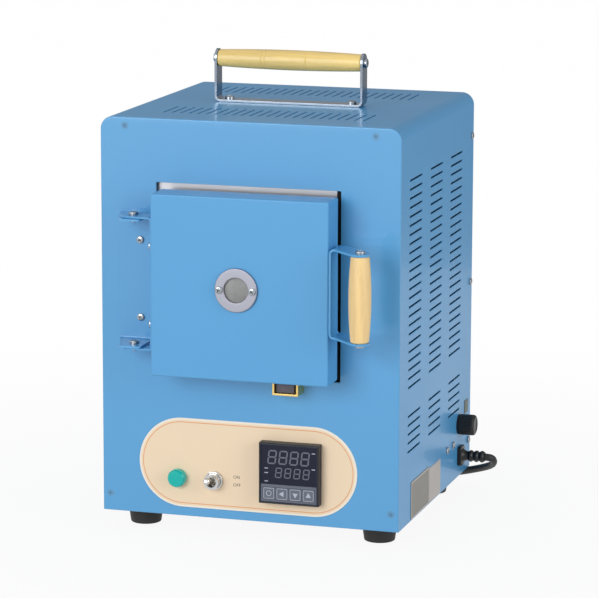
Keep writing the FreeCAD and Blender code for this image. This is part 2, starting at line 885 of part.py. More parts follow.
def heating_coils():
    span = (frame_back + coil_end_margin + seat_gap, muffle_back - seat_gap)
    return grouped([rod_y(spot, coil_radius, span) for spot in coil_lines()])


def hearth_plate():
    half = chamber_width / 2 - hearth_side_gap
    along = (frame_back + hearth_front_gap, muffle_back - seat_gap)
    return block((furnace_x - half, furnace_x + half), along, (chamber_low, chamber_low + hearth_thickness))


def thermocouple():
    middle = (furnace_x, furnace_z + thermocouple_rise)
    sheath_end = casing_back + sheath_reach
    sheath = rod_y(middle, sheath_radius, (muffle_back - sheath_in_chamber, sheath_end))
    head = rod_y(middle, head_radius, (casing_back, casing_back + head_length))
    head = head.cut(rod_y(middle, sheath_radius, (casing_back - 1, sheath_end)))
    return grouped([sheath, head])


def heater_terminals():
    parts = []
    for spot in terminal_spots():
        bush = rod_y(spot, terminal_bush_radius, (muffle_back + seat_gap, casing_back + terminal_bush_reach))
        stud = rod_y(spot, terminal_radius, (muffle_back + seat_gap, casing_back + terminal_reach))
        parts.append(bush.cut(stud))
        parts.append(stud)
    return grouped(parts)


def furnace_rails():
    """Two hat channels that hold the furnace off the shelf."""
    low = shelf_top
    high = furnace_z - casing_height / 2
    y = (frame_back + rail_end_margin, casing_back - rail_end_margin)
    rails = []
    for side in (-1, 1):
        x = furnace_x + side * rail_from_middle
        rail = block((x - rail_width / 2, x + rail_width / 2), y, (low, high))
        hollow = block((x - rail_width / 2 + sheet, x + rail_width / 2 - sheet),
                       (frame_back, casing_back), (low - 1, high - sheet))
        rails.append(rail.cut(hollow))
    return grouped(rails)


def shelf_plate():
    y = (lip_back, back_start - seat_gap)
    plate = block((-inner_half, inner_half), y, (shelf_bottom, shelf_top))
    for side in (-1, 1):
        x = sorted((side * inner_half, side * (inner_half - sheet)))
        plate = plate.fuse(block(x, y, (shelf_top - shelf_flange, shelf_bottom)))
    return plate.removeSplitter()


def shelf_posts():
    """Angle posts at the four corners, from the base pan to the shelf."""
    posts = []
    outer_x = inner_half - pan_sheet - seat_gap
    front_y = lip_back + pan_sheet + seat_gap
    rear_y = back_start - seat_gap
    height = (pan_top, shelf_bottom)
    for side in (-1, 1):
        for start, inward in ((front_y, 1), (rear_y, -1)):
            leg_x = sorted((side * outer_x, side * (outer_x - shelf_post_leg)))
            wall_x = sorted((side * outer_x, side * (outer_x - sheet)))
            leg = block(leg_x, sorted((start, start + inward * sheet)), height)
            wall = block(wall_x, sorted((start, start + inward * shelf_post_leg)), height)
            posts.append(leg.fuse(wall).removeSplitter())
    return grouped(posts)


# Electric parts below the shelf

def solid_state_relay():
    width, length, height = relay_size
    x = relay_x
    y = case_depth - relay_from_back
    across = (x - width / 2, x + width / 2)
    relay = block(across, (y - length / 2, y + length / 2), (pan_top, pan_top + height))
    upper = [edge for edge in relay.Edges if edge.BoundBox.ZMin > pan_top + 1]
    return relay.makeChamfer(relay_corner, upper)


def terminal_block():
    """A row of poles on the side wall beside the cord's entry, each with a step for its screws."""
    x = (inner_half - block_depth, inner_half)
    y = (block_y - block_length / 2, block_y + block_length / 2)
    middle_z = case_bottom + block_z
    body = block(x, y, (middle_z - block_height / 2, middle_z + block_height / 2))
    pitch = block_length / block_poles
    step_depth = block_depth / 2
    cuts = [screw_hole(*spot, m3_screw, block_screw_grip + 1) for spot in block_screw_seats()]
    for pole in range(block_poles):
        middle = y[0] + (pole + 0.5) * pitch
        across = (middle - pitch / 2 + 1, middle + pitch / 2 - 1)
        for side in (-1, 1):
            z = sorted((middle_z + side * 3, middle_z + side * (block_height / 2 + 1)))
            cuts.append(block((x[0] - 1, x[0] + step_depth), across, z))
    return body.cut(cuts)


fuse_middle = (fuse_y, case_bottom + fuse_z)


def fuse_holder_body():
    start = half_case + fuse_flange_height - fuse_body_length
    tube = rod_x(fuse_middle, fuse_body_radius, (start, half_case + fuse_flange_height))
    flange = rod_x(fuse_middle, fuse_flange_radius, (half_case, half_case + fuse_flange_height))
    nut = rod_x(fuse_middle, fuse_flange_radius, (inner_half - 4, inner_half))
    middle_z = fuse_middle[1]
    lug = block((start - 7, start), (fuse_y - 3, fuse_y + 3), (middle_z - 0.4, middle_z + 0.4))
    bore = rod_x(fuse_middle, fuse_stem_radius + fuse_stem_gap, (start + 3, half_case + fuse_flange_height + 1))
    return tube.fuse([flange, nut, lug]).removeSplitter().cut(bore)


def fuse_cap():
    seat = half_case + fuse_flange_height + seat_gap
    end = half_case + fuse_cap_reach
    length = end - seat
    crown = fuse_cap_radius - fuse_cap_ease
    profile = [(0, 0), (fuse_cap_radius, 0), (fuse_cap_radius, length - fuse_cap_ease), (crown, length),
               (0, length)]
    cap = turned(profile, (seat, fuse_middle[0], fuse_middle[1]), (1, 0, 0))
    grooves = []
    for step in range(fuse_cap_grooves):
        angle = 2 * math.pi * step / fuse_cap_grooves
        y = fuse_middle[0] + (fuse_cap_radius + 0.5) * math.cos(angle)
        z = fuse_middle[1] + (fuse_cap_radius + 0.5) * math.sin(angle)
        grooves.append(rod_x((y, z), fuse_groove_radius, (seat + 4, end + 1)))
    stem = rod_x(fuse_middle, fuse_stem_radius, (seat - 8, seat + 1))
    return cap.cut(grooves).fuse(stem).cut(fuse_link_seat(seat))


def fuse_link_seat(seat):
    return rod_x(fuse_middle, fuse_link_radius + 0.3, (seat - 9, seat - 2))


def fuse_link():
    seat = half_case + fuse_flange_height + seat_gap
    end = seat - 2 - seat_gap
    return rod_x(fuse_middle, fuse_link_radius, (end - fuse_link_length, end))


# Power cord

bushing_middle = (bushing_y, case_bottom + bushing_z)
sleeve_end = half_case + bushing_flange[2] + sleeve_length


def cord_bushing():
    """The strain relief: an oblong flange outside, a neck in the wall and a ribbed sleeve."""
    tall, deep, reach = bushing_flange
    y, z = bushing_middle
    start = half_case + reach
    flange = block((half_case, start), (y - deep / 2, y + deep / 2), (z - tall / 2, z + tall / 2))
    corners = [edge for edge in flange.Edges if edge.BoundBox.XLength > 1]
    flange = flange.makeFillet(3.5, corners)
    outer = [edge for edge in flange.Edges if edge.BoundBox.XMin > start - 0.1]
    flange = flange.makeChamfer(1.2, outer)
    neck = rod_x(bushing_middle, bushing_neck_radius, (half_case - bushing_inside, half_case + 1))
    pitch = sleeve_length / sleeve_ribs
    groove = 0.9
    profile = [(cord_radius + 0.1, -reach - bushing_inside + 1), (sleeve_radius, -reach - bushing_inside + 1)]
    for rib in range(sleeve_ribs):
        low = rib * pitch
        profile += [(sleeve_radius - groove, low), (sleeve_radius - groove, low + pitch * 0.4),
                    (sleeve_radius, low + pitch * 0.4), (sleeve_radius, low + pitch)]
    profile += [(cord_radius + 0.1, sleeve_length)]
    sleeve = turned(profile, (start, y, z), (1, 0, 0))
    bore = rod_x(bushing_middle, cord_radius + 0.1, (half_case - bushing_inside - 1, sleeve_end + 1))
    return flange.fuse([neck, sleeve]).cut(bore)


def cord_lead_route():
    """From inside the bushing, round the tight bend below it, to the coil behind the case."""
    y, z = bushing_middle
    return [(sleeve_end - 13, y, z), (sleeve_end + 1.8, y, z), (sleeve_end + 8, y + 2, z - 1.4),
            (150.5, 197.5, 25.2), (145.5, 205, 17.0), (135.5, 213.5, 10.2), (122.5, 222, 5.8),
            (107, 230.5, 3.4), (91, 236.5, 3.1), (74, 240, 3.1), (57, 241.6, 3.1), (40, 242, 3.1),
            (26, 242, 3.1)]


def cord_tail_route():
    """From the top of the coil down to the plug."""
    return [(14, 242, 9.4), (1, 241.6, 9.2), (-12, 240.6, 9.2), (-25, 240, 9.6)]


def cord_tube(points):
    """A tube along straight runs joined by the largest tangent arcs that they allow."""
    spots = [Vector(*point) for point in points]
    edges = []
    radii = []
    start = spots[0]
    for before, corner, after in zip(spots, spots[1:], spots[2:]):
        into = (corner - before).normalize()
        out = (after - corner).normalize()
        turn = into.getAngle(out)
        run = min((corner - before).Length, (after - corner).Length)
        if turn < 1e-6:
            continue
        back = 0.45 * run
        radius = back / math.tan(turn / 2)
        radii.append(round(radius, 1))
        enter = corner - into * back
        leave = corner + out * back
        bisector = (out - into).normalize()
        centre = corner + bisector * (radius / math.cos(turn / 2))
        middle = centre - bisector * radius
        edges.append(Part.LineSegment(start, enter).toShape())
        edges.append(Part.Arc(enter, middle, leave).toShape())
        start = leave
    edges.append(Part.LineSegment(start, spots[-1]).toShape())
    path = Part.Wire(edges)
    first = (spots[1] - spots[0]).normalize()
    section = Part.Wire(Part.makeCircle(cord_radius, spots[0], first))
    tube = path.makePipeShell([section], True, False)
    print("cord radii", radii)
    print("cord length", round(path.Length, 1), "volume ratio",
          round(tube.Volume / (math.pi * cord_radius ** 2 * path.Length), 4))
    return tube


def power_cord():
    return grouped([cord_tube(cord_lead_route()), cord_tube(cord_tail_route())])


def power_cord_coil():
    """One ring of the outer shape of the wound lead."""
    inside = coil_inner_turn - cord_radius
    outside = coil_outer_turn + cord_radius
    height = coil_layers * cord_diameter + coil_slack
    ease = coil_ease
    profile = [(inside, ease), (inside + ease, 0), (outside - ease, 0), (outside, ease),
               (outside, height - ease), (outside - ease, height), (inside + ease, height),
               (inside, height - ease)]
    return turned(profile, (coil_centre[0], coil_centre[1], 0), (0, 0, 1))


def power_plug():
    x, y, z = cord_tail_route()[-1]
    face = x - plug_length
    body = block((face, x - 10), (y - plug_width / 2, y + plug_width / 2),
                 (z - plug_thickness / 2, z + plug_thickness / 2))
    body = body.makeFillet(4, [edge for edge in body.Edges if edge.BoundBox.XLength > 1])
    neck = Part.makeCone(cord_radius + 2.5, cord_radius + 1, 10.5, Vector(x - 10.5, y, z), Vector(1, 0, 0))
    body = body.fuse(neck).removeSplitter()
    blades = [block((face - blade_length, face), (y + side * blade_spacing / 2 - blade_thickness / 2,
                                                  y + side * blade_spacing / 2 + blade_thickness / 2),
                    (z - blade_width / 2, z + blade_width / 2)) for side in (-1, 1)]
    return grouped([body] + blades)


# Hinge and catch

hinge_screw_grip = hinge_sheet + panel_sheet + 3


def hinge_screw_seats():
    x = pivot_x - hinge_screw_offset
    return [((x, -hinge_sheet, z), (0, -1, 0)) for z in hinge_screw_heights]


def hinge_bracket():
    """A channel on the front panel: a web with one pierced lug bent forward at each end."""
    root = pivot_x - lug_root_reach
    nose = pivot_x - lug_nose_reach
    inner = pivot_x + lug_inner_reach
    shoulder = -lug_front + lug_corner
    lug_outline = [(root, 0), (nose, shoulder), (nose + lug_corner, -lug_front),
                   (inner - lug_corner, -lug_front), (inner, shoulder), (inner, 0)]
    web = block((root, inner), (-hinge_sheet, 0), (hinge_low, hinge_high))
    low = plan(lug_outline, (hinge_low, hinge_low + hinge_sheet))
    high = plan(lug_outline, (hinge_high - hinge_sheet, hinge_high))
    bracket = web.fuse([low, high]).removeSplitter()
    cuts = [rod_z((pivot_x, pivot_y), pivot_radius, (hinge_low - 1, hinge_high + 1))]
    cuts += [screw_hole(*spot, m3_screw, hinge_screw_grip) for spot in hinge_screw_seats()]
    return bracket.cut(cuts)


def pivot_levels():
    """Top face of the upper lug of each pair, and the full depth of the pair."""
    pair = 2 * hinge_sheet + hinge_slip
    return (hinge_low + hinge_sheet, hinge_high + hinge_slip + hinge_sheet), pair


def hinge_pivots():
    tops, pair = pivot_levels()
    pins = []
    for top in tops:
        seat = (pivot_x, pivot_y, top + hinge_slip)
        sizes = (m4_screw[0], m4_screw[1], pivot_radius)
        pins.append(pan_screw(seat, (0, 0, 1), sizes, pair + hinge_slip + pivot_tail))
    return grouped(pins)


def catch_yoke():
    """A folded strap, open at the top and the front, that holds the magnet."""
    x = (catch_x - catch_width / 2, catch_x + catch_width / 2)
    z = (catch_top - catch_height, catch_top)
    outer = block(x, (-catch_reach, 0), z)
    inner = block((x[0] + catch_sheet, x[1] - catch_sheet), (-catch_reach - 1, -catch_sheet),
                  (z[0] + catch_sheet, z[1] + 1))
    return outer.cut(inner)


def catch_magnet():
    width = catch_width - 2 * catch_sheet - 2 * magnet_side_gap
    front = -catch_reach + magnet_front_setback
    low = catch_top - catch_height + catch_sheet
    high = catch_top - magnet_top_setback
    return block((catch_x - width / 2, catch_x + width / 2), (front, -catch_sheet), (low, high))


# Door

def door_hinge_seats():
    x = door_left - hinge_sheet
    return [((x, door_hinge_screw_y, z), (-1, 0, 0)) for z in hinge_screw_heights]


door_hinge_grip = hinge_sheet + door_sheet + 3
ring_screw_grip = ring_thickness + door_sheet + 6
grip_screw_grip = handle_sheet + 12


def ring_screw_seats():
    y = door_front - ring_thickness
    return [((furnace_x + side * ring_screw_spacing / 2, y, door_z), (0, -1, 0)) for side in (-1, 1)]


def door_cover():
    outer = centred((door_x, door_z), (door_size, door_size), (door_front, door_back))
    rim = [edge for edge in outer.Edges if edge.BoundBox.YMax < door_front + 1 or edge.BoundBox.YLength > 1]
    outer = outer.makeFillet(door_edge_round, rim)
    inside = door_size - 2 * door_sheet
    cuts = [centred((door_x, door_z), (inside, inside), (door_front + door_sheet, door_back + 1)),
            rod_y((furnace_x, door_z), peephole_radius + tube_wall, (door_front - 1, door_front + 3))]
    cuts += [screw_hole(*spot, m3_screw, ring_screw_grip) for spot in ring_screw_seats()]
    cuts += [screw_hole(*spot, m3_screw, door_hinge_grip) for spot in door_hinge_seats()]
    return outer.cut(cuts)


def door_insulation():
    """The fibre block: a slab in the cover, a plug behind it and a tapered tip for the mouth."""
    inside = door_size - 2 * door_sheet
    slab = centred((door_x, door_z), (inside, inside), (door_front + door_sheet, door_back - door_sheet))
    plug_back = frame_front - plug_gap
    plug = centred((furnace_x, door_z), (plug_size, plug_size), (door_back - door_sheet, plug_back))
    wide = tip_size / 2
    narrow = wide - tip_taper
    faces = []
    for half, y in ((wide, plug_back), (narrow, plug_back + tip_depth)):
        corners = [Vector(furnace_x + sx * half, y, door_z + sz * half)
                   for sx, sz in ((-1, -1), (1, -1), (1, 1), (-1, 1), (-1, -1))]
        faces.append(Part.makePolygon(corners))
    tip = Part.makeLoft(faces, True, True)
    block_shape = slab.fuse([plug, tip]).removeSplitter()
    tube_hole = peephole_radius + tube_wall + 0.1
    cuts = [rod_y((furnace_x, door_z), tube_hole, (door_front - 1, plug_back + tip_depth + 1))]
    cuts += [screw_hole(*spot, m3_screw, ring_screw_grip + 0.5) for spot in ring_screw_seats()]
    cuts += [screw_hole(*spot, m3_screw, door_hinge_grip + 0.5) for spot in door_hinge_seats()]
    return block_shape.cut(cuts)


def door_inner_plate():
    inside = door_size - 2 * door_sheet
    plate = centred((door_x, door_z), (inside, inside), (door_back - door_sheet, door_back))
    hole = plug_size + 0.2
    return plate.cut(centred((furnace_x, door_z), (hole, hole), (door_back - door_sheet - 1, door_back + 1)))


def peephole_ring():
    profile = [(peephole_radius, 0), (ring_radius, 0), (ring_radius, ring_thickness - 0.8),
               (ring_radius - 0.8, ring_thickness), (peephole_radius + 0.8, ring_thickness),
               (peephole_radius, ring_thickness - 0.8)]
    ring = turned(profile, (furnace_x, door_front, door_z), (0, -1, 0))
    return ring.cut([screw_hole(*spot, m3_screw, ring_screw_grip) for spot in ring_screw_seats()])


def peephole_window():
    span = (door_front, door_front + window_thickness)
    return rod_y((furnace_x, door_z), peephole_radius + tube_wall, span)


def peephole_tube():
    end = frame_front - plug_gap + tip_depth
    start = door_front + window_thickness
    tube = rod_y((furnace_x, door_z), peephole_radius + tube_wall, (start, end))
    return tube.cut(rod_y((furnace_x, door_z), peephole_radius, (start - 1, end + 1)))


def door_hinge_bracket():
    """A plate on the door's left flange with a round-nosed lug at each end, outside the fixed lugs."""
    low = hinge_low - hinge_slip - hinge_sheet
    high = hinge_high + hinge_slip + hinge_sheet
    plate = block((door_left - hinge_sheet, door_left), (-door_plate_front, -door_plate_rear), (low, high))
    lugs = []
    for bottom in (low, high - hinge_sheet):
        z = (bottom, bottom + hinge_sheet)
        arm = block((pivot_x, door_left), (pivot_y - door_lug_nose, pivot_y + door_lug_nose), z)
        lugs.append(arm.fuse(rod_z((pivot_x, pivot_y), door_lug_nose, z)))
    bracket = plate.fuse(lugs).removeSplitter()
    cuts = [rod_z((pivot_x, pivot_y), pivot_radius + pivot_gap, (low - 1, high + 1))]
    cuts += [screw_hole(*spot, m3_screw, door_hinge_grip) for spot in door_hinge_seats()]
    return bracket.cut(cuts)


def grip_seats():
    half = grip_length / 2 + handle_sheet
    return [((grip_x, grip_y, grip_z + side * half), (0, 0, side)) for side in (-1, 1)]


def door_handle_bracket():
    """A flat bar bent to a U: its web lies on the door's flange and its arms reach out to the grip."""
    z = grip_z
    half = grip_length / 2 + handle_sheet
    end = grip_x + handle_nose
    depth = (grip_y - handle_nose, -handle_web_rear)
    outer = block((door_right, end), depth, (z - half, z + half))
    bends = [edge for edge in outer.Edges
             if edge.BoundBox.XMax < door_right + 1 and edge.BoundBox.YLength > 1]
    outer = outer.makeFillet(handle_bend, bends)
    inner = block((door_right + handle_sheet, end + 1), (depth[0] - 1, depth[1] + 1),
                  (z - grip_length / 2, z + grip_length / 2))
    bends = [edge for edge in inner.Edges
             if edge.BoundBox.XMax < door_right + handle_sheet + 1 and edge.BoundBox.YLength > 1]
    inner = inner.makeFillet(handle_bend - handle_sheet, bends)
    span = (z - half - 1, z + half + 1)
    side_step = handle_nose * math.sqrt(0.5)
    outline = [(door_right, -handle_web_rear), (door_right, -handle_web_front),
               (door_right + 5, -handle_web_front), (grip_x - side_step, grip_y - side_step),
               (grip_x + side_step, grip_y + side_step), (grip_x - 4, -handle_web_front + 4),
               (door_right + 8, -handle_web_rear)]
    top_view = plan(outline, span).fuse(rod_z((grip_x, grip_y), handle_nose, span))
    bracket = outer.cut(inner).common(top_view)
    return bracket.cut([screw_hole(*spot, m4_screw, grip_screw_grip) for spot in grip_seats()])


def door_grip():
    low_end = (grip_x, grip_y, grip_z - grip_length / 2)
    grip = barrel(grip_length, grip_end_radius, grip_middle_radius, low_end, (0, 0, 1))
    return grip.cut([screw_hole(*spot, m4_screw, grip_screw_grip + 1) for spot in grip_seats()])


def door_screws():
    screws = [pan_screw(*spot, m3_screw, ring_screw_grip) for spot in ring_screw_seats()]
    screws += [pan_screw(*spot, m3_screw, door_hinge_grip) for spot in door_hinge_seats()]
    screws += [pan_screw(*spot, m4_screw, grip_screw_grip) for spot in grip_seats()]
    return grouped(screws)


# Everything by name, moved so that the middle of the outline is at the origin

nodes = [base_pan, wrapper_cover, front_panel, back_panel, front_panel_screws, case_screws, rubber_feet,
         carry_bracket, carry_grip, carry_screws, control_plate, pilot_lamp_body, pilot_lamp_lens,
         toggle_switch_body, toggle_nut, toggle_lever, controller_housing, controller_window,
         controller_keypad, controller_clamp, furnace_front_frame, furnace_casing, insulation_boards,
         rear_insulation, furnace_muffle, heating_coils, hearth_plate, thermocouple, heater_terminals,
         furnace_rails, shelf_plate, shelf_posts, solid_state_relay, terminal_block, fuse_holder_body,
         fuse_cap, fuse_link, cord_bushing, power_cord, power_cord_coil, power_plug, hinge_bracket,
         hinge_pivots, catch_yoke, catch_magnet, door_cover, door_insulation, door_inner_plate,
         peephole_ring, peephole_window, peephole_tube, door_hinge_bracket, door_handle_bracket,
         door_grip, door_screws]

left_reach = half_case + m3_screw[1]
right_reach = half_case + fuse_cap_reach
front_reach = -grip_y + grip_middle_radius
to_origin = Vector((left_reach - right_reach) / 2, (front_reach - case_depth) / 2, 0)

os.makedirs("parts", exist_ok=True)
shapes = {make.__name__: make() for make in nodes}
for key_name, key_middle in zip(key_names, key_middles()):
    shapes[key_name] = controller_key(key_middle)
for name, shape in shapes.items():
    shape.translated(to_origin).exportStep("parts/" + name + ".step")
print("nodes", len(shapes), "shift", tuple(round(value, 3) for value in to_origin))
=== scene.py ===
"""Bench-top electric kiln: a folded sheet-steel case with a hinged furnace door.

Sizes are in millimetres in the case's own coordinates while a piece is worked
out: x runs from the middle of the case to the right, y from the face of the
front panel to the back, and z up from the bench.  place() turns them into
metres of the frame.
"""
import logging
import math
from dataclasses import dataclass, field
from enum import Enum
from functools import cache
from typing import Sequence

import bmesh
import bpy
import numpy as np
from mathutils import Matrix, Vector


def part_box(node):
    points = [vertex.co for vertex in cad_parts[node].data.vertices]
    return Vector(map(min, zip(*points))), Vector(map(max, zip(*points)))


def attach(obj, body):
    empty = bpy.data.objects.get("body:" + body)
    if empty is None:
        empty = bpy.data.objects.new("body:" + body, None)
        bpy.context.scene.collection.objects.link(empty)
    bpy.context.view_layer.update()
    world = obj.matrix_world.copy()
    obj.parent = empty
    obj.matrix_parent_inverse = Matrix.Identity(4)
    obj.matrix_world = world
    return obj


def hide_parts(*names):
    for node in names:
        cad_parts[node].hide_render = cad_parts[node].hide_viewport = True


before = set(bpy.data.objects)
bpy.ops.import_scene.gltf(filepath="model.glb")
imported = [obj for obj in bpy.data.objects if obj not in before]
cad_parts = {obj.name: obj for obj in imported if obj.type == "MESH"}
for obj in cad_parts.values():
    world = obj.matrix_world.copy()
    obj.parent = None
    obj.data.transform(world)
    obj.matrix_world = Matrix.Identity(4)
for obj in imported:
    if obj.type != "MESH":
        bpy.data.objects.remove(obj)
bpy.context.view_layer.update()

log = logging.getLogger("kiln")

Array = np.ndarray
Mesh = bpy.types.Mesh
Node = bpy.types.Node
Socket = bpy.types.NodeSocket
Point = tuple[float, float, float]
Flat = tuple[float, float]
Colour = tuple[float, float, float]

KEYS = ("mode", "shift", "down", "up")
CASE_SIDE = 120.0
CASE_TOP = 327.5
HINGE_PIVOT: Flat = (-86.0, -20.5)
HINGE_SCREW_LEVELS: Flat = (172.1, 232.9)
INK_DEPTH = 0.06
INK_RISE = 0.03
PRINT_WELD = 1e-8
FOLD_ANGLE = 50.0
BAR_TIP = 0.02


# Places

def node_box(node: str) -> tuple[Array, Array]:
    """Box of a CAD node in case millimetres.

    Args:
        node: name of the node.

    Returns:
        Its lowest and highest corner.
    """
    low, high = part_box(node)
    return (np.array(low) - CASE_ORIGIN) * 1000.0, (np.array(high) - CASE_ORIGIN) * 1000.0


def find_case_origin() -> Array:
    """Origin of the case coordinates in metres: the bench below the middle of the front panel."""
    low, high = (np.array(corner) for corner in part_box("front_panel"))
    return np.array([(low[0] + high[0]) / 2, low[1], 0.0])


CASE_ORIGIN = find_case_origin()


def place(points: Array) -> Array:
    """Case millimetres to metres of the frame.

    Args:
        points: coordinates, one point in each row.

    Returns:
        The same points in the frame.
    """
    return np.asarray(points, float) / 1000.0 + CASE_ORIGIN


# Surfaces

class Facing(Enum):
    """Way that a plate faces: the two axes of its outline, then the axis of its thickness."""

    FRONT = (0, 2, 1)
    SIDE = (1, 2, 0)


@dataclass
class Surface:
    """Vertices and faces of a mesh that grows by whole arrays."""

    points: list[Array] = field(default_factory=list)
    faces: list[Array] = field(default_factory=list)
    count: int = 0

    def add(self, points: Array, faces: Sequence[Array]) -> None:
        """Adds vertices with the faces between them.

        Args:
            points: the new vertices, one in each row.
            faces: arrays of vertex numbers within the new vertices.
        """
        self.points.append(np.asarray(points, float))
        self.faces.extend(np.asarray(block) + self.count for block in faces)
        self.count += len(points)

    def rings(self, rings: Array, caps: tuple[bool, bool] = (False, False)) -> None:
        """Joins closed rings, one after the other, with quads.

        Args:
            rings: array of ring, point and coordinate.
            caps: whether the first and the last ring are closed by a flat face.
        """
        count, size = rings.shape[:2]
        start = np.arange(count - 1)[:, None] * size
        along = np.arange(size)[None, :]
        after = (along + 1) % size
        above = start + size
        quads = np.stack([start + along, start + after, above + after, above + along], -1)
        faces = [quads.reshape(-1, 4)]
        if caps[0]:
            faces.append(np.arange(size)[None, ::-1])
        if caps[1]:
            faces.append(np.arange(size)[None, :] + (count - 1) * size)
        self.add(rings.reshape(-1, 3), faces)

    def ink(self, outline: Array, level: float) -> None:
        """Closed slab of print on a front face: the outline at its back and at its face."""
        rings = [lifted(outline, step, Facing.FRONT) for step in (level + INK_DEPTH, level)]
        self.rings(np.stack(rings), caps=(True, True))

    def mesh(self, name: str, fill: bool = False, weld: float = 1e-6) -> Mesh:
        """Makes the mesh, in metres of the frame, with its faces turned outwards.

        Args:
            name: name of the mesh.
            fill: whether flat boundary loops are filled, holes and all.
            weld: distance in metres within which vertices are merged.

        Returns:
            The mesh.
        """
        mesh = bpy.data.meshes.new(name)
        faces = [row for block in self.faces for row in block.tolist()]
        mesh.from_pydata(place(np.concatenate(self.points)).tolist(), [], faces)
        work = bmesh.new()
        work.from_mesh(mesh)
        bmesh.ops.remove_doubles(work, verts=work.verts, dist=weld)
        bmesh.ops.dissolve_degenerate(work, edges=work.edges, dist=1e-7)
        if fill:
            fill_flats(work)
        bmesh.ops.recalc_face_normals(work, faces=work.faces)
        work.to_mesh(mesh)
        work.free()
        return mesh


def fill_flats(work: bmesh.types.BMesh) -> None:
    """Fills boundary loops that lie in one plane across x, y or z, with their holes left open.

    Args:
        work: the mesh that is filled.
    """
    for axis in range(3):
        levels: dict[int, list] = {}
        for edge in [edge for edge in work.edges if edge.is_boundary]:
            first, second = (vert.co[axis] for vert in edge.verts)
            if abs(first - second) < 1e-7:
                levels.setdefault(round(first * 1e6), []).append(edge)
        normal = Vector([float(step == axis) for step in range(3)])
        for edges in levels.values():
            if len(edges) > 2:
                bmesh.ops.triangle_fill(work, use_beauty=True, edges=edges, normal=normal)


def ease_steps(ease: float, steps: int = 3) -> Array:
    """Quarter-round edge: inset and depth of each step, from the wall to the face.

    Args:
        ease: radius of the edge.
        steps: number of facets.

    Returns:
        Rows of inset and distance below the face.
    """
    turn = np.linspace(0.0, math.pi / 2, steps + 1)
    return np.stack([ease * (1 - np.cos(turn)), ease * (1 - np.sin(turn))], -1)


def inset(outline: Array, distance: float) -> Array:
    """Moves a closed outline that runs anticlockwise inwards by a distance, with mitred corners.

    Args:
        outline: points (a, b).
        distance: how far it moves; below zero it grows.

    Returns:
        The moved points.
    """
    before = outline - np.roll(outline, 1, 0)
    after = np.roll(outline, -1, 0) - outline
    first, second = (np.stack([-run[:, 1], run[:, 0]], -1) / np.linalg.norm(run, axis=1)[:, None]
                     for run in (before, after))
    dot = (first * second).sum(1)[:, None]
    return outline + distance * (first + second) / (1 + dot)


def rounded(corners: Sequence[Flat], radii: float | Sequence[float], steps: int = 6) -> Array:
    """Closed outline with an arc of a given radius at each corner.

    Args:
        corners: corner points (a, b), anticlockwise.
        radii: one radius for all corners, or one for each.
        steps: facets of each arc.

    Returns:
        The outline's points.
    """
    spots = np.array(corners, float)
    sizes = np.broadcast_to(np.array(radii, float), (len(spots),))
    after = np.roll(spots, -1, 0)
    return np.concatenate([arc_corner(spots[step - 1], spots[step], after[step], sizes[step], steps)
                           for step in range(len(spots))])


def arc_corner(before: Array, corner: Array, after: Array, radius: float, steps: int) -> Array:
    """Arc that touches both runs of a corner: centre on the bisector, swept from run to run.

    Args:
        before: the point before the corner.
        corner: the corner.
        after: the point after it.
        radius: radius of the arc.
        steps: facets of the arc.

    Returns:
        The arc's points, or the corner alone where the radius is nil.
    """
    into = (corner - before) / np.linalg.norm(corner - before)
    out = (after - corner) / np.linalg.norm(after - corner)
    turn = math.acos(float(np.clip(into @ out, -1, 1)))
    if radius <= 0 or turn < 1e-6:
        return corner[None, :]
    back = radius * math.tan(turn / 2)
    bisector = (out - into) / np.linalg.norm(out - into)
    centre = corner + bisector * radius / math.cos(turn / 2)
    start = corner - into * back - centre
    end = corner + out * back - centre
    share = np.linspace(0.0, 1.0, steps + 1)[:, None]
    swept = np.sin((1 - share) * turn) * start + np.sin(share * turn) * end
    return centre + swept / math.sin(turn)


def rectangle(low: Flat, high: Flat, radius: float = 0.0, steps: int = 6) -> Array:
    """Outline of a rectangle with rounded corners, anticlockwise.

    Args:
        low: its lowest corner.
        high: its highest corner.
        radius: radius of the corners.
        steps: facets of each corner.

    Returns:
        The outline's points.
    """
    corners = [(low[0], low[1]), (high[0], low[1]), (high[0], high[1]), (low[0], high[1])]
    return rounded(corners, radius, steps)


def circle(middle: Flat, radius: float, steps: int = 48) -> Array:
    """Outline of a circle, anticlockwise: middle + radius (cos t, sin t).

    Args:
        middle: its middle.
        radius: its radius.
        steps: number of points.

    Returns:
        The outline's points.
    """
    turn = np.arange(steps) * 2 * math.pi / steps
    return np.array(middle) + radius * np.stack([np.cos(turn), np.sin(turn)], -1)


def lifted(outline: Array, level: float, facing: Facing) -> Array:
    """Puts a flat outline at a level along its facing's axis.

    Args:
        outline: points (a, b).
        level: coordinate along the axis.
        facing: the axis.

    Returns:
        Points in space.
    """
    across, up, along = facing.value
    points = np.empty((len(outline), 3))
    points[:, across] = outline[:, 0]
    points[:, up] = outline[:, 1]
    points[:, along] = level
    return points


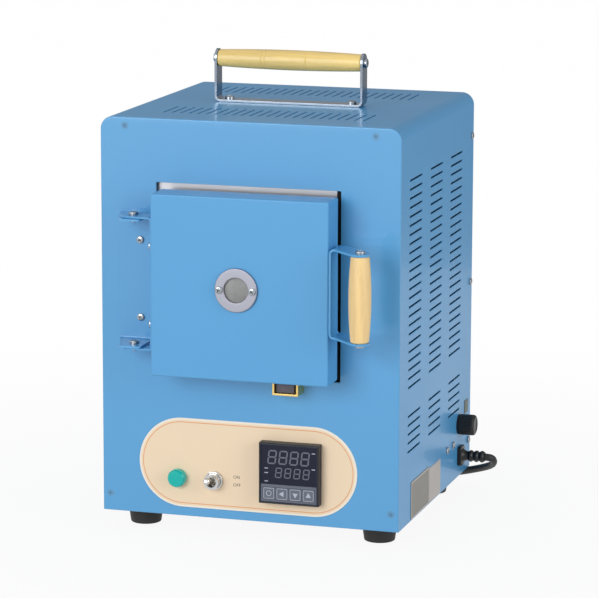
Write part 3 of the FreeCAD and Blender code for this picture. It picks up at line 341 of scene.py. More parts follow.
def plate(name: str, outline: Array, span: Flat, facing: Facing, ease: float,
          holes: Sequence[Array] = (), hole_ease: float = 0.2) -> Mesh:
    """Plate with a quarter-round front edge: its outline is carried through its thickness.

    Args:
        name: name of the mesh.
        outline: outer outline, anticlockwise.
        span: level of the front face and of the back face.
        facing: the axis that it faces.
        ease: radius of the front edge.
        holes: outlines of the holes, anticlockwise.
        hole_ease: radius of the holes' front edges.

    Returns:
        The mesh.
    """
    front, back = span
    way = 1.0 if back > front else -1.0
    surface = Surface()
    levels = [(0.0, back)] + [(step, front + way * depth) for step, depth in ease_steps(ease)]
    surface.rings(np.stack([lifted(inset(outline, step), level, facing) for step, level in levels]))
    rims = [(0.0, back)] + [(-step, front + way * depth)
                            for step, depth in ease_steps(hole_ease, 2)]
    for hole in holes:
        surface.rings(np.stack([lifted(inset(hole, step), level, facing) for step, level in rims]))
    return surface.mesh(name, fill=True)


def turn_to(direction: Sequence[float]) -> Array:
    """Rotation that takes the z axis to a direction, with its columns as the turned axes.

    Args:
        direction: where z goes.

    Returns:
        A matrix of three rows.
    """
    return np.array(Vector(direction).to_track_quat("Z", "Y").to_matrix())


def lathe_rings(profile: Array, base: Point, direction: Sequence[float], steps: int = 64) -> Array:
    """Rings of a turned surface: base + d axis + r (cos t, sin t) for each (r, d) of the profile.

    Args:
        profile: rows of radius and distance along the axis.
        base: start of the axis.
        direction: the axis.
        steps: points on each ring.

    Returns:
        Array of ring, point and coordinate.
    """
    turn = np.arange(steps) * 2 * math.pi / steps
    radius, along = np.asarray(profile, float).T
    local = np.stack([radius[:, None] * np.cos(turn), radius[:, None] * np.sin(turn),
                      np.broadcast_to(along[:, None], (len(radius), steps))], -1)
    return local @ turn_to(direction).T + np.array(base)


def open_arcs(spots: Array, radius: float, steps: int) -> Array:
    """Open path with an arc at each inner corner.

    Args:
        spots: the path's corners.
        radius: radius of the arcs.
        steps: facets of each arc.

    Returns:
        The path's points.
    """
    arcs = [arc_corner(*spots[step:step + 3], radius, steps) for step in range(len(spots) - 2)]
    return np.concatenate([spots[:1], *arcs, spots[-1:]])


def lathe(name: str, profile: Sequence[Flat], base: Point, direction: Sequence[float],
          ease: float = 0.0, steps: int = 48, closed: bool = False) -> Mesh:
    """Turned piece with rounded profile corners.

    Args:
        name: name of the mesh.
        profile: points of radius and distance along the axis.
        base: start of the axis.
        direction: the axis.
        ease: radius of the profile's corners.
        steps: points round the axis.
        closed: whether the profile's last point joins its first.

    Returns:
        The mesh.
    """
    spots = np.array(profile, float)
    if ease > 0 and closed:
        spots = rounded(spots, ease, 4)
    elif ease > 0:
        spots = open_arcs(spots, ease, 4)
    if closed:
        spots = np.concatenate([spots, spots[:1]])
    surface = Surface()
    surface.rings(lathe_rings(spots, base, direction, steps))
    return surface.mesh(name)


def ribbon(name: str, path: Array, normal: Array, side: Sequence[float], half_width: Array,
           thickness: float, ease: float) -> Mesh:
    """Flat bar bent along a path: an eased oblong of varying width is carried along it.

    Args:
        name: name of the mesh.
        path: the bar's middle line.
        normal: direction across the thickness at each point.
        side: direction across the width.
        half_width: half the width at each point.
        thickness: thickness of the bar.
        ease: radius of the long edges.

    Returns:
        The mesh.
    """
    turn = np.linspace(0, math.pi / 2, 4)
    quarter = np.stack([np.cos(turn), np.sin(turn)], -1)
    signs = np.array([(1, 1), (-1, 1), (-1, -1), (1, -1)], float)
    order = [quarter, quarter[::-1], quarter, quarter[::-1]]
    across = np.concatenate([sign * corner for sign, corner in zip(signs, order)])
    corner = np.repeat(signs, len(turn), 0)
    reach = np.minimum(ease, half_width)[:, None]
    wide = corner[:, 0] * (half_width[:, None] - reach) + across[:, 0] * reach
    deep = corner[:, 1] * (thickness / 2 - ease) + across[:, 1] * ease
    deep = np.broadcast_to(deep, wide.shape)
    spread = wide[..., None] * np.array(side, float)
    rings = path[:, None, :] + spread + deep[..., None] * normal[:, None, :]
    surface = Surface()
    surface.rings(rings, caps=(True, True))
    return surface.mesh(name)


def bent_path(corners: Sequence[Flat], radius: float, spacing: float = 1.0) -> tuple[Array, Array]:
    """Open path with arcs at its corners, sampled closely, and its left-hand normals.

    Args:
        corners: corner points (a, b).
        radius: radius of the bends.
        spacing: distance between samples on the straight runs.

    Returns:
        The points and the normals.
    """
    rough = open_arcs(np.array(corners, float), radius, 8)
    runs = []
    for start, end in zip(rough, rough[1:]):
        steps = max(1, round(float(np.linalg.norm(end - start)) / spacing))
        runs.append(start + (end - start) * (np.arange(steps) / steps)[:, None])
    points = np.concatenate(runs + [rough[-1:]])
    tangent = np.gradient(points, axis=0)
    tangent /= np.linalg.norm(tangent, axis=1)[:, None]
    return points, np.stack([-tangent[:, 1], tangent[:, 0]], -1)


def with_noses(points: Array, normals: Array, keep: Array, noses: tuple[Array, Array],
               normal: Flat) -> tuple[Array, Array]:
    """Path of a bar whose two ends are taken by closely spaced points, for a round nose at each.

    Args:
        points: the bar's path.
        normals: its normals.
        keep: which of its points stay.
        noses: points at its start and at its end.
        normal: normal at its start; the one at its end is the opposite.

    Returns:
        The points and the normals.
    """
    start = np.tile(normal, (len(noses[0]), 1))
    return (np.concatenate([noses[0], points[keep], noses[1]]),
            np.concatenate([start, normals[keep], -start]))


def upright(points: Array, across: Array | float) -> Array:
    """Rows (x, z) of an upright bar with their y between them."""
    return np.stack([points[:, 0], np.broadcast_to(across, len(points)), points[:, 1]], -1)


# Pieces

def shade(mesh: Mesh, angle: float = 32.0) -> None:
    """Smooth shading with sharp edges above an angle.

    Args:
        mesh: the mesh.
        angle: the angle in degrees.
    """
    mesh.shade_smooth()
    mesh.set_sharp_from_angle(angle=math.radians(angle))


def piece(mesh: Mesh, finish: "Finish", replaces: Sequence[str] = (),
          body: str = "kiln", bevel: float = 0.0, angle: float = 32.0) -> bpy.types.Object:
    """Puts a mesh into the scene as a piece of the kiln that has the mesh's name.

    Args:
        mesh: its mesh.
        finish: its finish.
        replaces: CAD nodes that it stands for.
        body: the CAD body that it moves with.
        bevel: radius in millimetres that its sharp edges get.
        angle: angle above which an edge is sharp.

    Returns:
        The piece.
    """
    item = bpy.data.objects.new(mesh.name, mesh)
    bpy.context.scene.collection.objects.link(item)
    mesh.materials.clear()
    mesh.materials.append(finish.material())
    shade(mesh, angle)
    if bevel > 0:
        ease = item.modifiers.new("edges", "BEVEL")
        ease.width = bevel / 1000.0
        ease.segments = 3
        ease.limit_method = "ANGLE"
        ease.angle_limit = math.radians(angle)
        ease.harden_normals = True
        ease.use_clamp_overlap = True
    weight = item.modifiers.new("normals", "WEIGHTED_NORMAL")
    weight.keep_sharp = True
    weight.weight = 50
    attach(item, body)
    if replaces:
        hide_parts(*replaces)
    log.info("%s: %d faces, on %s", item.name, len(mesh.polygons), body)
    return item


def eased_copy(node: str, finish: "Finish", bevel: float = 0.3, angle: float = 32.0,
               body: str = "kiln") -> bpy.types.Object:
    """Copy of a CAD node with its triangles joined to flat faces and its edges eased.

    Args:
        node: name of the node that it stands for.
        finish: its finish.
        bevel: radius of the eased edges in millimetres.
        angle: angle above which an edge is eased.
        body: the CAD body that it moves with.

    Returns:
        The piece.
    """
    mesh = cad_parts[node].data.copy()
    mesh.name = node + "_eased"
    work = bmesh.new()
    work.from_mesh(mesh)
    bmesh.ops.remove_doubles(work, verts=work.verts, dist=2e-6)
    bmesh.ops.dissolve_limit(work, angle_limit=math.radians(1.0), verts=work.verts,
                             edges=work.edges)
    work.to_mesh(mesh)
    work.free()
    return piece(mesh, finish, [node], body, bevel, angle)


@dataclass(frozen=True)
class Screw:
    """Size of a cross-recess screw head: radius, height, and radius of the recess."""

    radius: float
    height: float
    recess: float
    countersunk: bool = False

    def rings(self, seat: Point, direction: Sequence[float], turn: float) -> Array:
        """Surface of one head in polar coordinates: a low dome less a cross whose arms taper.

        Args:
            seat: the middle of the seat.
            direction: where the head faces.
            turn: turn of the recess in degrees.

        Returns:
            Array of ring, point and coordinate.
        """
        steps = 48
        angle = np.arange(steps) * 2 * math.pi / steps
        radius = np.concatenate([[1e-4], np.linspace(0.08, 0.93, 15), [0.975, 1.0]]) * self.radius
        share = radius / self.radius
        if self.countersunk:
            dome = np.zeros_like(share)
        else:
            dome = self.height * (0.58 + 0.42 * np.sqrt(np.clip(1 - share ** 2.6, 0, 1)))
        across = radius[:, None] * np.cos(angle + math.radians(turn))
        up = radius[:, None] * np.sin(angle + math.radians(turn))
        arm = np.minimum(np.abs(across), np.abs(up))
        reach = np.maximum(np.abs(across), np.abs(up))
        half = self.recess * 0.22 * (1.25 - reach / self.recess)
        cut = np.clip((half - arm) / 0.16 + 0.5, 0, 1)
        cut *= np.clip((self.recess - reach) / 0.2 + 0.5, 0, 1)
        height = dome[:, None] - cut * self.height * 0.75
        round_on = radius[:, None] * np.stack([np.cos(angle), np.sin(angle)])[:, None, :]
        local = np.stack([*round_on, height], -1)
        foot = local[-1:].copy()
        foot[..., 2] = -0.6 if self.countersunk else -0.05
        if self.countersunk:
            foot[..., :2] *= 0.8
        whole = np.concatenate([foot, local[::-1]])
        return whole @ turn_to(direction).T + np.array(seat)


M3_PAN = Screw(2.9, 1.9, 1.55)
M4_PAN = Screw(3.7, 2.6, 1.95)
M3_FLAT = Screw(2.9, 1.2, 1.5, countersunk=True)


def screws(name: str, kinds: Sequence[tuple[Screw, Point, Point]]) -> Mesh:
    """Mesh of several screw heads, each with its recess turned its own way.

    Args:
        name: name of the mesh.
        kinds: kind, seat and direction of each screw.

    Returns:
        The mesh.
    """
    surface = Surface()
    for step, (kind, seat, direction) in enumerate(kinds):
        surface.rings(kind.rings(seat, direction, 37.0 * step + 20.0), caps=(True, True))
    return surface.mesh(name)


def words(name: str, text: str, size: float, spot: Point, finish: "Finish") -> None:
    """Flat printed word on a front face, as a mesh.

    Args:
        name: name of the piece.
        text: the word.
        size: height of the letters' body in millimetres.
        spot: where its lower left corner stands.
        finish: the ink.
    """
    curve = bpy.data.curves.new(name + "_letters", "FONT")
    curve.body = text
    curve.size = size / 1000.0
    curve.extrude = 0.00002
    holder = bpy.data.objects.new(name + "_letters", curve)
    bpy.context.scene.collection.objects.link(holder)
    bpy.context.view_layer.update()
    mesh = bpy.data.meshes.new_from_object(holder)
    bpy.data.objects.remove(holder)
    bpy.data.curves.remove(curve)
    mesh.name = name
    shift = Matrix.Translation(Vector(place([spot])[0]))
    mesh.transform(shift @ Matrix.Rotation(math.pi / 2, 4, "X"))
    piece(mesh, finish)


# Finishes

def linear(colour: Sequence[float]) -> tuple[float, float, float, float]:
    """Display colour of 0 to 255 as linear light.

    Args:
        colour: red, green and blue.

    Returns:
        Linear red, green, blue and a full alpha.
    """
    share = np.array(colour, float) / 255.0
    light = np.where(share <= 0.04045, share / 12.92, ((share + 0.055) / 1.055) ** 2.4)
    return (*map(float, light), 1.0)


@dataclass
class Nodes:
    """Short way to place and join nodes in a tree."""

    tree: bpy.types.NodeTree

    def new(self, kind: str, inputs: dict | None = None, **settings: object) -> Node:
        """Places a node.

        Args:
            kind: the node's type.
            inputs: values or sockets by the name or number of the input.
            settings: properties of the node.

        Returns:
            The node.
        """
        node = self.tree.nodes.new(kind)
        for key, value in settings.items():
            setattr(node, key, value)
        self.fill(node, inputs or {})
        return node

    def fill(self, node: Node, inputs: dict) -> None:
        """Gives inputs of a node their values, or joins sockets to them.

        Args:
            node: the node.
            inputs: values or sockets by the name or number of the input.
        """
        for key, value in inputs.items():
            if isinstance(value, Socket):
                self.tree.links.new(value, node.inputs[key])
            else:
                node.inputs[key].default_value = value

    def math(self, operation: str, first: object, second: object = 0.0) -> Socket:
        """Arithmetic on two numbers.

        Args:
            operation: name of the operation.
            first: number or socket.
            second: number or socket.

        Returns:
            The result.
        """
        return self.new("ShaderNodeMath", {0: first, 1: second}, operation=operation).outputs[0]

    def mix(self, share: object, first: object, second: object) -> Socket:
        """Colour between two colours.

        Args:
            share: number or socket.
            first: colour at nought.
            second: colour at one.

        Returns:
            The colour.
        """
        inputs = {0: share, 6: first, 7: second}
        return self.new("ShaderNodeMix", inputs, data_type="RGBA").outputs[2]

    def spread(self, value: object, low: float, high: float, to_low: float = 0.0,
               to_high: float = 1.0) -> Socket:
        """Maps a range to another, held at its ends.

        Args:
            value: number or socket.
            low: start of the range.
            high: end of the range.
            to_low: result at its start.
            to_high: result at its end.

        Returns:
            The result.
        """
        ends = {1: low, 2: high, 3: to_low, 4: to_high}
        return self.new("ShaderNodeMapRange", {0: value, **ends}).outputs[0]


NEARLY_BLACK = (0.02, 0.02, 0.02, 1.0)
FLOAT = "NodeSocketFloat"
VECTOR = "NodeSocketVector"


def group(name: str, inputs: dict[str, tuple[str, object]],
          outputs: Sequence[str]) -> tuple[Nodes, Node, Node]:
    """Opens a node group whose outputs are numbers.

    Args:
        name: name of the group.
        inputs: type and default of each input by its name.
        outputs: names of the outputs.

    Returns:
        The group's nodes, the node of its inputs and that of its outputs.
    """
    tree = bpy.data.node_groups.new(name, "ShaderNodeTree")
    for label, (kind, value) in inputs.items():
        socket = tree.interface.new_socket(label, in_out="INPUT", socket_type=kind)
        socket.default_value = value
    for label in outputs:
        tree.interface.new_socket(label, in_out="OUTPUT", socket_type=FLOAT)
    nodes = Nodes(tree)
    return nodes, nodes.new("NodeGroupInput"), nodes.new("NodeGroupOutput")


@cache
def speckle_group() -> bpy.types.NodeTree:
    """Cloudy variation and a fine skin: noise of two sizes on the object's place.

    Returns:
        The group, which is built once.
    """
    nodes, source, result = group("cloud and skin", {
        "Place": (VECTOR, (0, 0, 0)), "Cloud scale": (FLOAT, 12.0),
        "Skin scale": (FLOAT, 1500.0)}, ("Cloud", "Skin"))
    cloud, skin = (nodes.new("ShaderNodeTexNoise", {
        "Vector": source.outputs["Place"], "Scale": source.outputs[scale], "Detail": detail,
        "Roughness": rough}).outputs[0]
        for scale, detail, rough in (("Cloud scale", 3.0, 0.55), ("Skin scale", 2.0, 0.5)))
    nodes.fill(result, {"Cloud": nodes.spread(cloud, 0.3, 0.7), "Skin": skin})
    return nodes.tree


@cache
def stretch_group() -> bpy.types.NodeTree:
    """Fine lines along one direction: noise on a place that is squeezed along it.

    Returns:
        The group, which is built once.
    """
    nodes, source, result = group("drawn lines", {
        "Place": (VECTOR, (0, 0, 0)), "Squeeze": (VECTOR, (1, 1, 1)), "Scale": (FLOAT, 400.0)},
        ("Lines",))
    squeezed = nodes.new("ShaderNodeVectorMath", {
        0: source.outputs["Place"], 1: source.outputs["Squeeze"]}, operation="MULTIPLY")
    noise = nodes.new("ShaderNodeTexNoise", {
        "Vector": squeezed.outputs[0], "Scale": source.outputs["Scale"], "Detail": 4.0,
        "Roughness": 0.6})
    nodes.fill(result, {"Lines": noise.outputs[0]})
    return nodes.tree


@dataclass
class SurfaceNodes(Nodes):
    """Nodes of a material, with its surface shader and the place on the object."""

    shader: Node
    position: Socket

    def lines(self, squeeze: Sequence[float], scale: float) -> Socket:
        """Places the shared lines.

        Args:
            squeeze: share to which each axis is squeezed.
            scale: how fine the lines are.

        Returns:
            The lines.
        """
        inputs = {"Place": self.position, "Squeeze": squeeze, "Scale": scale}
        return self.new("ShaderNodeGroup", inputs, node_tree=stretch_group()).outputs["Lines"]


@dataclass(frozen=True)
class Finish:
    """Base of all finishes: a colour, its shine and the height of its skin."""

    name: str
    colour: Colour
    roughness: float = 0.4
    metallic: float = 0.0
    cloud: float = 0.06
    cloud_scale: float = 12.0
    skin: float = 0.02
    skin_scale: float = 1500.0
    coat: float = 0.0
    coat_roughness: float = 0.1
    specular: float = 0.5

    def material(self) -> bpy.types.Material:
        """The finish as a material.

        Returns:
            The material, which is built once.
        """
        label = self.name + "_finish"
        known = bpy.data.materials.get(label)
        if known:
            return known
        material = bpy.data.materials.new(label)
        material.use_nodes = True
        tree = material.node_tree
        nodes = SurfaceNodes(tree, tree.nodes["Principled BSDF"],
                             tree.nodes.new("ShaderNodeTexCoord").outputs["Object"])
        nodes.fill(nodes.shader, {
            "Metallic": self.metallic, "Specular IOR Level": self.specular,
            "Coat Weight": self.coat, "Coat Roughness": self.coat_roughness})
        self.dress(nodes)
        return material

    def dress(self, nodes: SurfaceNodes) -> None:
        """Colour, roughness and relief of the surface.

        Args:
            nodes: the material's nodes.
        """
        cloud, skin = self.speckle(nodes)
        self.tint(nodes, cloud, linear(self.colour))
        self.relief(nodes, skin)

    def speckle(self, nodes: SurfaceNodes) -> tuple[Socket, Socket]:
        """Places the shared cloud and skin.

        Args:
            nodes: the material's nodes.

        Returns:
            The cloud and the skin.
        """
        speckle = nodes.new("ShaderNodeGroup", {
            "Place": nodes.position, "Cloud scale": self.cloud_scale,
            "Skin scale": self.skin_scale}, node_tree=speckle_group())
        return speckle.outputs["Cloud"], speckle.outputs["Skin"]

    def tint(self, nodes: SurfaceNodes, cloud: Socket, colour: object) -> None:
        """Varies the colour and the roughness a little with the cloud.

        Args:
            nodes: the material's nodes.
            cloud: the slow variation.
            colour: the colour or its socket.
        """
        shadow = nodes.mix(nodes.math("MULTIPLY", cloud, self.cloud), colour, NEARLY_BLACK)
        rough = nodes.spread(cloud, 0.0, 1.0, self.roughness * 0.92, min(1.0, self.roughness * 1.1))
        nodes.fill(nodes.shader, {"Base Color": shadow, "Roughness": rough})

    def relief(self, nodes: SurfaceNodes, height: Socket) -> None:
        """Raises the surface by a height.

        Args:
            nodes: the material's nodes.
            height: the height.
        """
        if self.skin > 0:
            bump = nodes.new("ShaderNodeBump", {
                "Strength": 1.0, "Distance": self.skin / 1000.0, "Height": height})
            nodes.fill(nodes.shader, {"Normal": bump.outputs[0]})


@dataclass(frozen=True)
class Paint(Finish):
    """Smooth sprayed enamel."""

    cloud: float = 0.015
    cloud_scale: float = 6.0
    skin: float = 0.006
    skin_scale: float = 900.0


@dataclass(frozen=True)
class Drawn(Finish):
    """Metal with fine lines along its rolling direction."""

    squeeze: Point = (1.0, 0.05, 1.0)
    line_scale: float = 900.0

    def dress(self, nodes: SurfaceNodes) -> None:
        """Colour, roughness and relief from the drawn lines.

        Args:
            nodes: the material's nodes.
        """
        cloud, skin = self.speckle(nodes)
        fine = nodes.lines(self.squeeze, self.line_scale)
        both = nodes.math("MULTIPLY", nodes.math("ADD", cloud, fine), 0.5)
        self.tint(nodes, both, linear(self.colour))
        self.relief(nodes, nodes.math("ADD", fine, nodes.math("MULTIPLY", skin, 0.3)))


@dataclass(frozen=True)
class TurnedWood(Finish):
    """Pale hardwood turned on a lathe, with its grain along the grip."""

    axis: int = 0
    grain: float = 0.06
    fibre_scale: float = 900.0
    year_scale: float = 220.0

    def dress(self, nodes: SurfaceNodes) -> None:
        """Long fibres over slow year rings.

        Args:
            nodes: the material's nodes.
        """
        squeeze = [1.0, 1.0, 1.0]
        squeeze[self.axis] = self.grain
        fibres, years = (nodes.lines(squeeze, scale)
                         for scale in (self.fibre_scale, self.year_scale))
        light, dark, darkest = (linear(tuple(share * value for value in self.colour))
                                for share in (1.0, 0.82, 0.66))
        grain = nodes.mix(nodes.spread(years, 0.4, 0.66, 0.0, 0.45), light, dark)
        colour = nodes.mix(nodes.spread(fibres, 0.56, 0.7, 0.0, 0.22), grain, darkest)
        cloud, _ = self.speckle(nodes)
        self.tint(nodes, cloud, colour)
        self.relief(nodes, fibres)


@dataclass(frozen=True)
class Glow(Finish):
    """Clear or tinted plastic over something dark or lit."""

    transmission: float = 0.0
    emission: float = 0.0

    def dress(self, nodes: SurfaceNodes) -> None:
        """Adds the light that passes to the plain finish.

        Args:
            nodes: the material's nodes.
        """
        nodes.fill(nodes.shader, {
            "Transmission Weight": self.transmission, "Emission Strength": self.emission,
            "Emission Color": linear(self.colour)})
        super().dress(nodes)


@dataclass(frozen=True)
class OvalPrint(Finish):
    """Printed plate with an inset line and a pale border that follow its oval outline."""

    line: Colour = (226, 150, 96)
    border: Colour = (244, 234, 218)
    middle: Flat = (0.0, 0.0)
    reach: float = 53.0
    radius: float = 34.5
    line_span: Flat = (2.9, 3.5)
    border_width: float = 1.5
    blur: float = 0.12

    def dress(self, nodes: SurfaceNodes) -> None:
        """Distance from the outline: the radius less the length of (max(|x| - reach, 0), z).

        Args:
            nodes: the material's nodes.
        """
        centre = place([[self.middle[0], 0.0, self.middle[1]]])[0]
        parts = nodes.new("ShaderNodeSeparateXYZ", {0: nodes.position})
        across = nodes.math("ABSOLUTE", nodes.math("SUBTRACT", parts.outputs[0], float(centre[0])))
        past = nodes.math("MAXIMUM", nodes.math("SUBTRACT", across, self.reach / 1000.0), 0.0)
        up = nodes.math("SUBTRACT", parts.outputs[2], float(centre[2]))
        square = nodes.math("ADD", *(nodes.math("MULTIPLY", run, run) for run in (past, up)))
        inward = nodes.math("SUBTRACT", self.radius / 1000.0, nodes.math("SQRT", square))
        depth = nodes.math("MULTIPLY", inward, 1000.0)
        start, end = self.line_span
        inside = nodes.spread(depth, start - self.blur, start + self.blur)
        beyond = nodes.spread(depth, end + self.blur, end - self.blur)
        line = nodes.math("MULTIPLY", inside, beyond)
        ground = nodes.mix(line, linear(self.colour), linear(self.line))
        rim = nodes.spread(depth, self.border_width + self.blur, self.border_width - self.blur)
        cloud, skin = self.speckle(nodes)
        self.tint(nodes, cloud, nodes.mix(rim, ground, linear(self.border)))
        self.relief(nodes, skin)


CASE_PAINT = Paint("case_paint", (82, 159, 211), roughness=0.36, coat=0.45, coat_roughness=0.09)
COVER_PAINT = Paint("cover_paint", (82, 160, 213), roughness=0.38, coat=0.16, coat_roughness=0.07,
                    specular=0.3)
DOOR_PAINT = Paint("door_paint", (88, 161, 213), roughness=0.38, cloud_scale=7.0, coat=0.15,
                   coat_roughness=0.14, specular=0.35)
SCREW_PAINT = Finish("screw_paint", (96, 150, 190), roughness=0.45, cloud=0.08)
STAINLESS = Drawn("stainless_sheet", (192, 193, 197), roughness=0.33, metallic=0.92, cloud=0.3,
                  skin=0.003, squeeze=(0.04, 1.0, 1.0))
GALVANISED = Finish("galvanised_sheet", (176, 180, 182), roughness=0.42, metallic=1.0, cloud=0.25,
                    cloud_scale=60.0, skin=0.01, skin_scale=300.0)
NICKEL = Drawn("nickel_plate", (205, 205, 204), roughness=0.17, metallic=1.0, cloud=0.1, skin=0.0)
HANDLE_NICKEL = Drawn("handle_nickel", (142, 152, 164), roughness=0.15, metallic=1.0, cloud=0.12,
                      skin=0.0)
SCREW_STEEL = Finish("screw_steel", (166, 172, 178), roughness=0.22, metallic=1.0, cloud=0.2,
                     cloud_scale=300.0, skin=0.004)
SATIN_RING = Drawn("satin_ring", (152, 153, 164), roughness=0.42, metallic=1.0, cloud=0.1,
                   skin=0.002, squeeze=(1.0, 1.0, 1.0))
YELLOW_ZINC = Finish("yellow_zinc", (232, 200, 124), roughness=0.27, metallic=1.0, cloud=0.15,
                     cloud_scale=90.0, skin=0.006)
WOOD_ACROSS = TurnedWood("beech_across", (252, 218, 134), roughness=0.42, cloud=0.05, skin=0.01,
                         coat=0.3, coat_roughness=0.3, axis=0)
WOOD_UPRIGHT = TurnedWood("beech_upright", (246, 211, 146), roughness=0.42, cloud=0.05, skin=0.01,
                          coat=0.3, coat_roughness=0.3, axis=2)
LAMP = Glow("lamp_lens", (6, 180, 170), roughness=0.2, cloud=0.08, skin=0.004, coat=0.15,
            coat_roughness=0.05, transmission=0.1, emission=0.12, specular=0.3)
BLACK_PLASTIC = Finish("black_plastic", (15, 15, 18), roughness=0.36, cloud=0.1, skin=0.01,
                       skin_scale=2500.0, specular=0.4)
CONTROLLER_NAVY = Finish("controller_navy", (22, 28, 40), cloud=0.05, skin=0.006, specular=0.35)
WINDOW_NAVY = Finish("window_navy", (15, 18, 42), roughness=0.34, cloud=0.03, skin=0.0,
                     specular=0.25)
KEYPAD_GREY = Finish("keypad_grey", (92, 98, 112), roughness=0.45, cloud=0.04, skin=0.006)
KEY_GREY = Finish("key_grey", (94, 100, 114), roughness=0.45, cloud=0.04, skin=0.006)
DIGIT_GREY = Finish("digit_grey", (98, 102, 114), cloud=0.02, skin=0.0)
PRINT_GREY = Finish("print_grey", (176, 182, 194), roughness=0.5, cloud=0.02, skin=0.0)
PRINT_DARK = Finish("print_dark", (92, 80, 74), roughness=0.5, cloud=0.02, skin=0.0)
RUBBER = Finish("foot_rubber", (18, 18, 20), roughness=0.62, cloud=0.15, cloud_scale=60.0,
                skin=0.03, skin_scale=1200.0)
LEAD_BLACK = Finish("lead_jacket", (15, 15, 17), roughness=0.48, cloud=0.1, cloud_scale=40.0,
                    skin=0.01, skin_scale=1800.0)
FIBRE = Finish("fibre_board", (226, 220, 204), roughness=0.92, cloud=0.1, cloud_scale=30.0,
               skin=0.25, skin_scale=420.0, specular=0.2)
CERAMIC = Finish("fired_ceramic", (214, 205, 182), roughness=0.8, cloud=0.14, cloud_scale=26.0,
                 skin=0.12, skin_scale=600.0, specular=0.3)
HEARTH = Finish("hearth_tile", (206, 196, 172), roughness=0.7, cloud=0.16, cloud_scale=34.0,
                skin=0.08, skin_scale=700.0, specular=0.35)
COIL_WIRE = Finish("coil_wire", (62, 58, 56), roughness=0.55, metallic=0.6, cloud=0.2,
                   cloud_scale=120.0, skin=0.01)
FERRITE = Finish("ferrite", (104, 99, 108), roughness=0.6, cloud=0.15, cloud_scale=90.0, skin=0.03)
# Near-black strip finish: painted shade for the shadowed gap round the door, not a real seal.
PAINTED_SHADE = Finish("painted_shade_strip", (22, 24, 28), roughness=0.8, cloud=0.15, cloud_scale=80.0, skin=0.05,
              skin_scale=900.0, specular=0.2)
MICA = Finish("mica", (150, 152, 150), roughness=0.3, cloud=0.35, cloud_scale=110.0, skin=0.01,
              skin_scale=300.0, coat=0.3)
WHITE_PLASTIC = Finish("white_plastic", (226, 226, 222), cloud=0.04, skin=0.01)
RELAY_PLASTIC = Finish("relay_plastic", (42, 46, 54), roughness=0.45, cloud=0.08)
GLASS_TUBE = Finish("glass_tube", (206, 214, 212), roughness=0.08, cloud=0.03, skin=0.0, coat=0.5)
PLATE_METAL = Drawn("plate_metal", (150, 146, 138), roughness=0.5, metallic=0.35, cloud=0.12,
                    skin=0.003)
PLATE_PALE = Drawn("plate_pale", (196, 190, 184), roughness=0.5, metallic=0.25, cloud=0.08,
                   skin=0.003)
PLATE_DARK = Finish("plate_dark", (96, 104, 92), roughness=0.5, cloud=0.1, skin=0.004)


# Studio

@dataclass(frozen=True)
class SoftLamp:
    """Area lamp: where it stands and its width and height in metres, and its power in watts."""

    name: str
    spot: Point
    size: Flat
    power: float

    def light(self, target: Point) -> None:
        """Places the lamp.

        Args:
            target: where it faces.
        """
        data = bpy.data.lights.new(self.name, "AREA")
        data.shape = "RECTANGLE"
        data.size, data.size_y = self.size
        data.energy = self.power
        item = bpy.data.objects.new(self.name, data)
        item.location = self.spot
        facing = Vector(target) - Vector(self.spot)
        item.rotation_euler = facing.to_track_quat("-Z", "Y").to_euler()
        bpy.context.scene.collection.objects.link(item)


